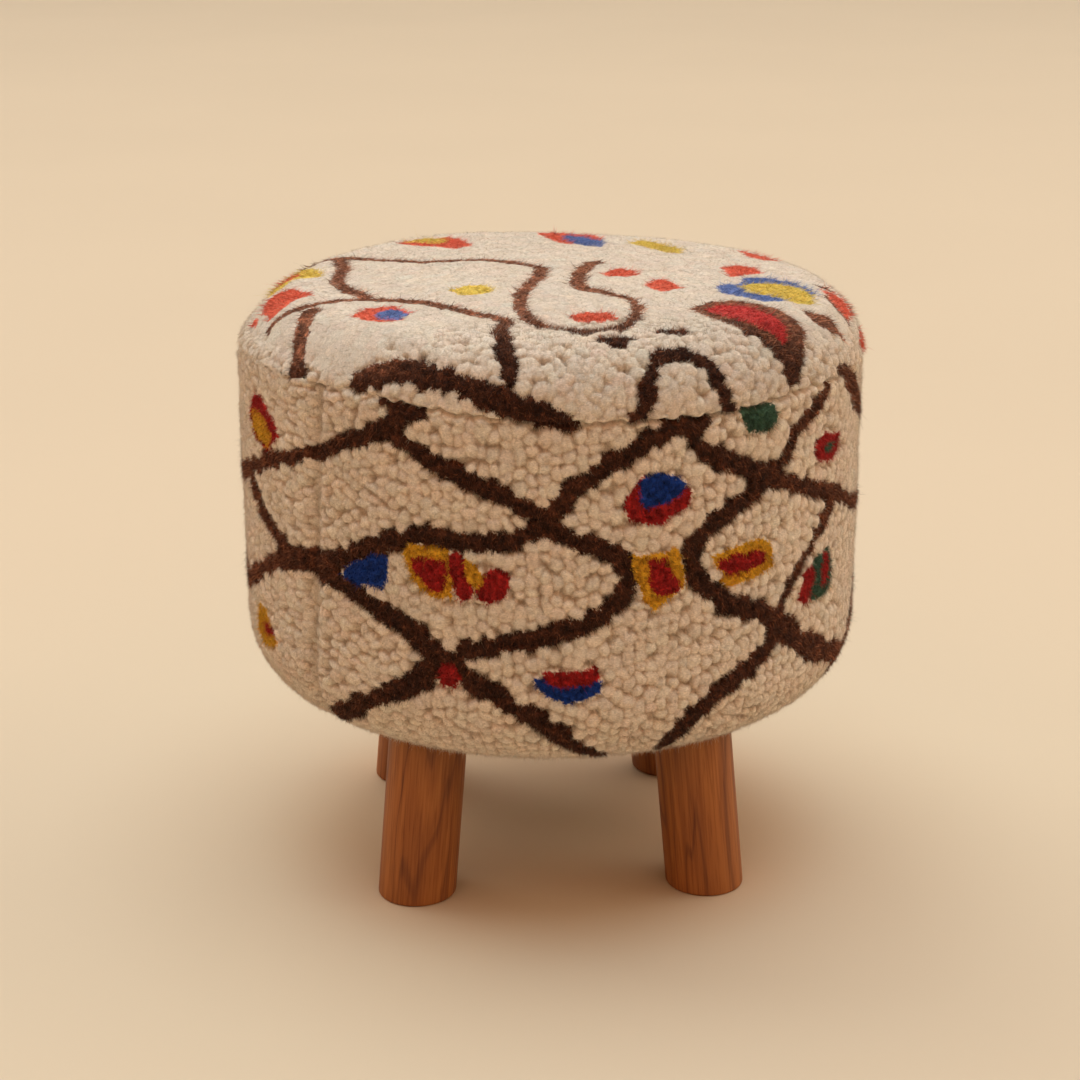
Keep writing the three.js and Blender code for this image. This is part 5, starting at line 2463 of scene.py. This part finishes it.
LAMPS = (Lamp("overhead", 88.0, 270.0, (0.94, 1.34, 1.55), 48.0),
         Lamp("rear_left", 48.0, 129.0, (0.99, 1.10, 1.08)),
         Lamp("rear_right", 48.0, 51.0, (0.52, 0.55, 0.55)),
         Lamp("right", 20.0, 0.0, (0.62, 0.60, 0.50), 40.0),
         Lamp("rear_low", 34.0, 90.0, (0.26, 0.27, 0.26)),
         Lamp("front_low", 6.0, 262.0, (0.11, 0.09, 0.07)))


@dataclass
class Studio:
    """A warm beige floor that runs up into the backdrop, under soft light from above."""

    colour: Triple = (0.693, 0.552, 0.396)
    glow: Triple = (1.24, 0.74, 0.46)
    glow_heights: Pair = (0.50, 0.71)
    glow_fade: float = 0.12
    front: float = -40.0
    back: float = 14.0
    half_width: float = 40.0
    sweep: float = 1.2
    top: float = 11.9

    def build(self) -> None:
        """Makes the backdrop, the lamps and the warm band of light round the room."""
        self.backdrop()
        for lamp in LAMPS:
            lamp.build()
        world = bpy.data.worlds.new("studio")
        bpy.context.scene.world = world
        world.use_nodes = True
        tree = world.node_tree
        where = tree.nodes.new("ShaderNodeTexCoord")
        split = tree.nodes.new("ShaderNodeSeparateXYZ")
        ramp = tree.nodes.new("ShaderNodeValToRGB")
        tree.links.new(where.outputs["Generated"], split.inputs[0])
        tree.links.new(split.outputs["Z"], ramp.inputs["Fac"])
        tree.links.new(ramp.outputs["Color"], tree.nodes["Background"].inputs["Color"])
        first, last = ramp.color_ramp.elements
        first.position = self.glow_heights[0] - self.glow_fade
        last.position = self.glow_heights[1] + self.glow_fade
        first.color = last.color = (0.0, 0.0, 0.0, 1.0)
        for height in self.glow_heights:
            ramp.color_ramp.elements.new(height).color = (*self.glow, 1.0)
        bpy.context.scene.view_settings.view_transform = "Standard"

    def backdrop(self) -> None:
        """Makes the floor and its sweep."""
        line = [(self.front, 0.0), (self.back, 0.0)]
        line += [(self.back + self.sweep * math.sin(t), self.sweep * (1 - math.cos(t)))
                 for t in np.linspace(0, math.pi / 2, 40)[1:]]
        line.append((self.back + self.sweep, self.top))
        points = np.array([[(x, y, z) for x in np.linspace(-self.half_width, self.half_width, 3)]
                           for y, z in line])
        mesh = bpy.data.meshes.new("backdrop")
        faces = grid_faces(*points.shape[:2])
        mesh.from_pydata(points.reshape(-1, 3).tolist(), [], faces[:, ::-1].tolist())
        mesh.polygons.foreach_set("use_smooth", np.full(len(mesh.polygons), True))
        nodes = NodeTree("backdrop_paper")
        where = nodes.coordinates((1.0, 1.0, 1.0))
        cloud = nodes.noise(where, 1.3, 2.0)
        warm = tuple(c * 1.015 for c in self.colour)
        tone = nodes.ramp(cloud, "Fac", ((0.35, self.colour), (0.65, warm)))
        nodes.join(tone, "Color", nodes.shader, "Base Color")
        nodes.set_shader({"Roughness": 0.9, "Specular IOR Level": 0.1})
        mesh.materials.append(nodes.material)
        piece = bpy.data.objects.new("backdrop", mesh)
        bpy.context.scene.collection.objects.link(piece)


def main() -> None:
    """Builds the stool's pieces in order, then the studio."""
    logging.basicConfig(level=logging.INFO, format="%(message)s")
    side_low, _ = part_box("cover_side_front")
    _, seat_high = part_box("cover_top_panel")
    drum = DrumShape(radius=seat_high.x, seat_height=seat_high.z, base_height=side_low.z)
    camera, finishes = PhotoCamera(), Finishes()
    pattern = RugPattern(drum, camera)
    cover = PileCover(drum, pattern, finishes)
    pile = cover.build()
    pile += Strands(cover, finishes).build()
    pieces = pile + Padding(drum, finishes).build() + WoodenFrame(finishes).build()
    pieces += UnderCloths(finishes).build()
    pieces += RugBacking(drum, finishes, pattern.hidden_seam).build(pile)
    pieces += SeamCords(drum, finishes).build() + Legs(finishes).build() + PlateScrews(finishes).build()
    for piece in pieces:
        LOG.info("built %s, %d points", piece.name, len(piece.data.vertices))
    Studio().build()
    camera.build()


if __name__ == "__main__":
    main()
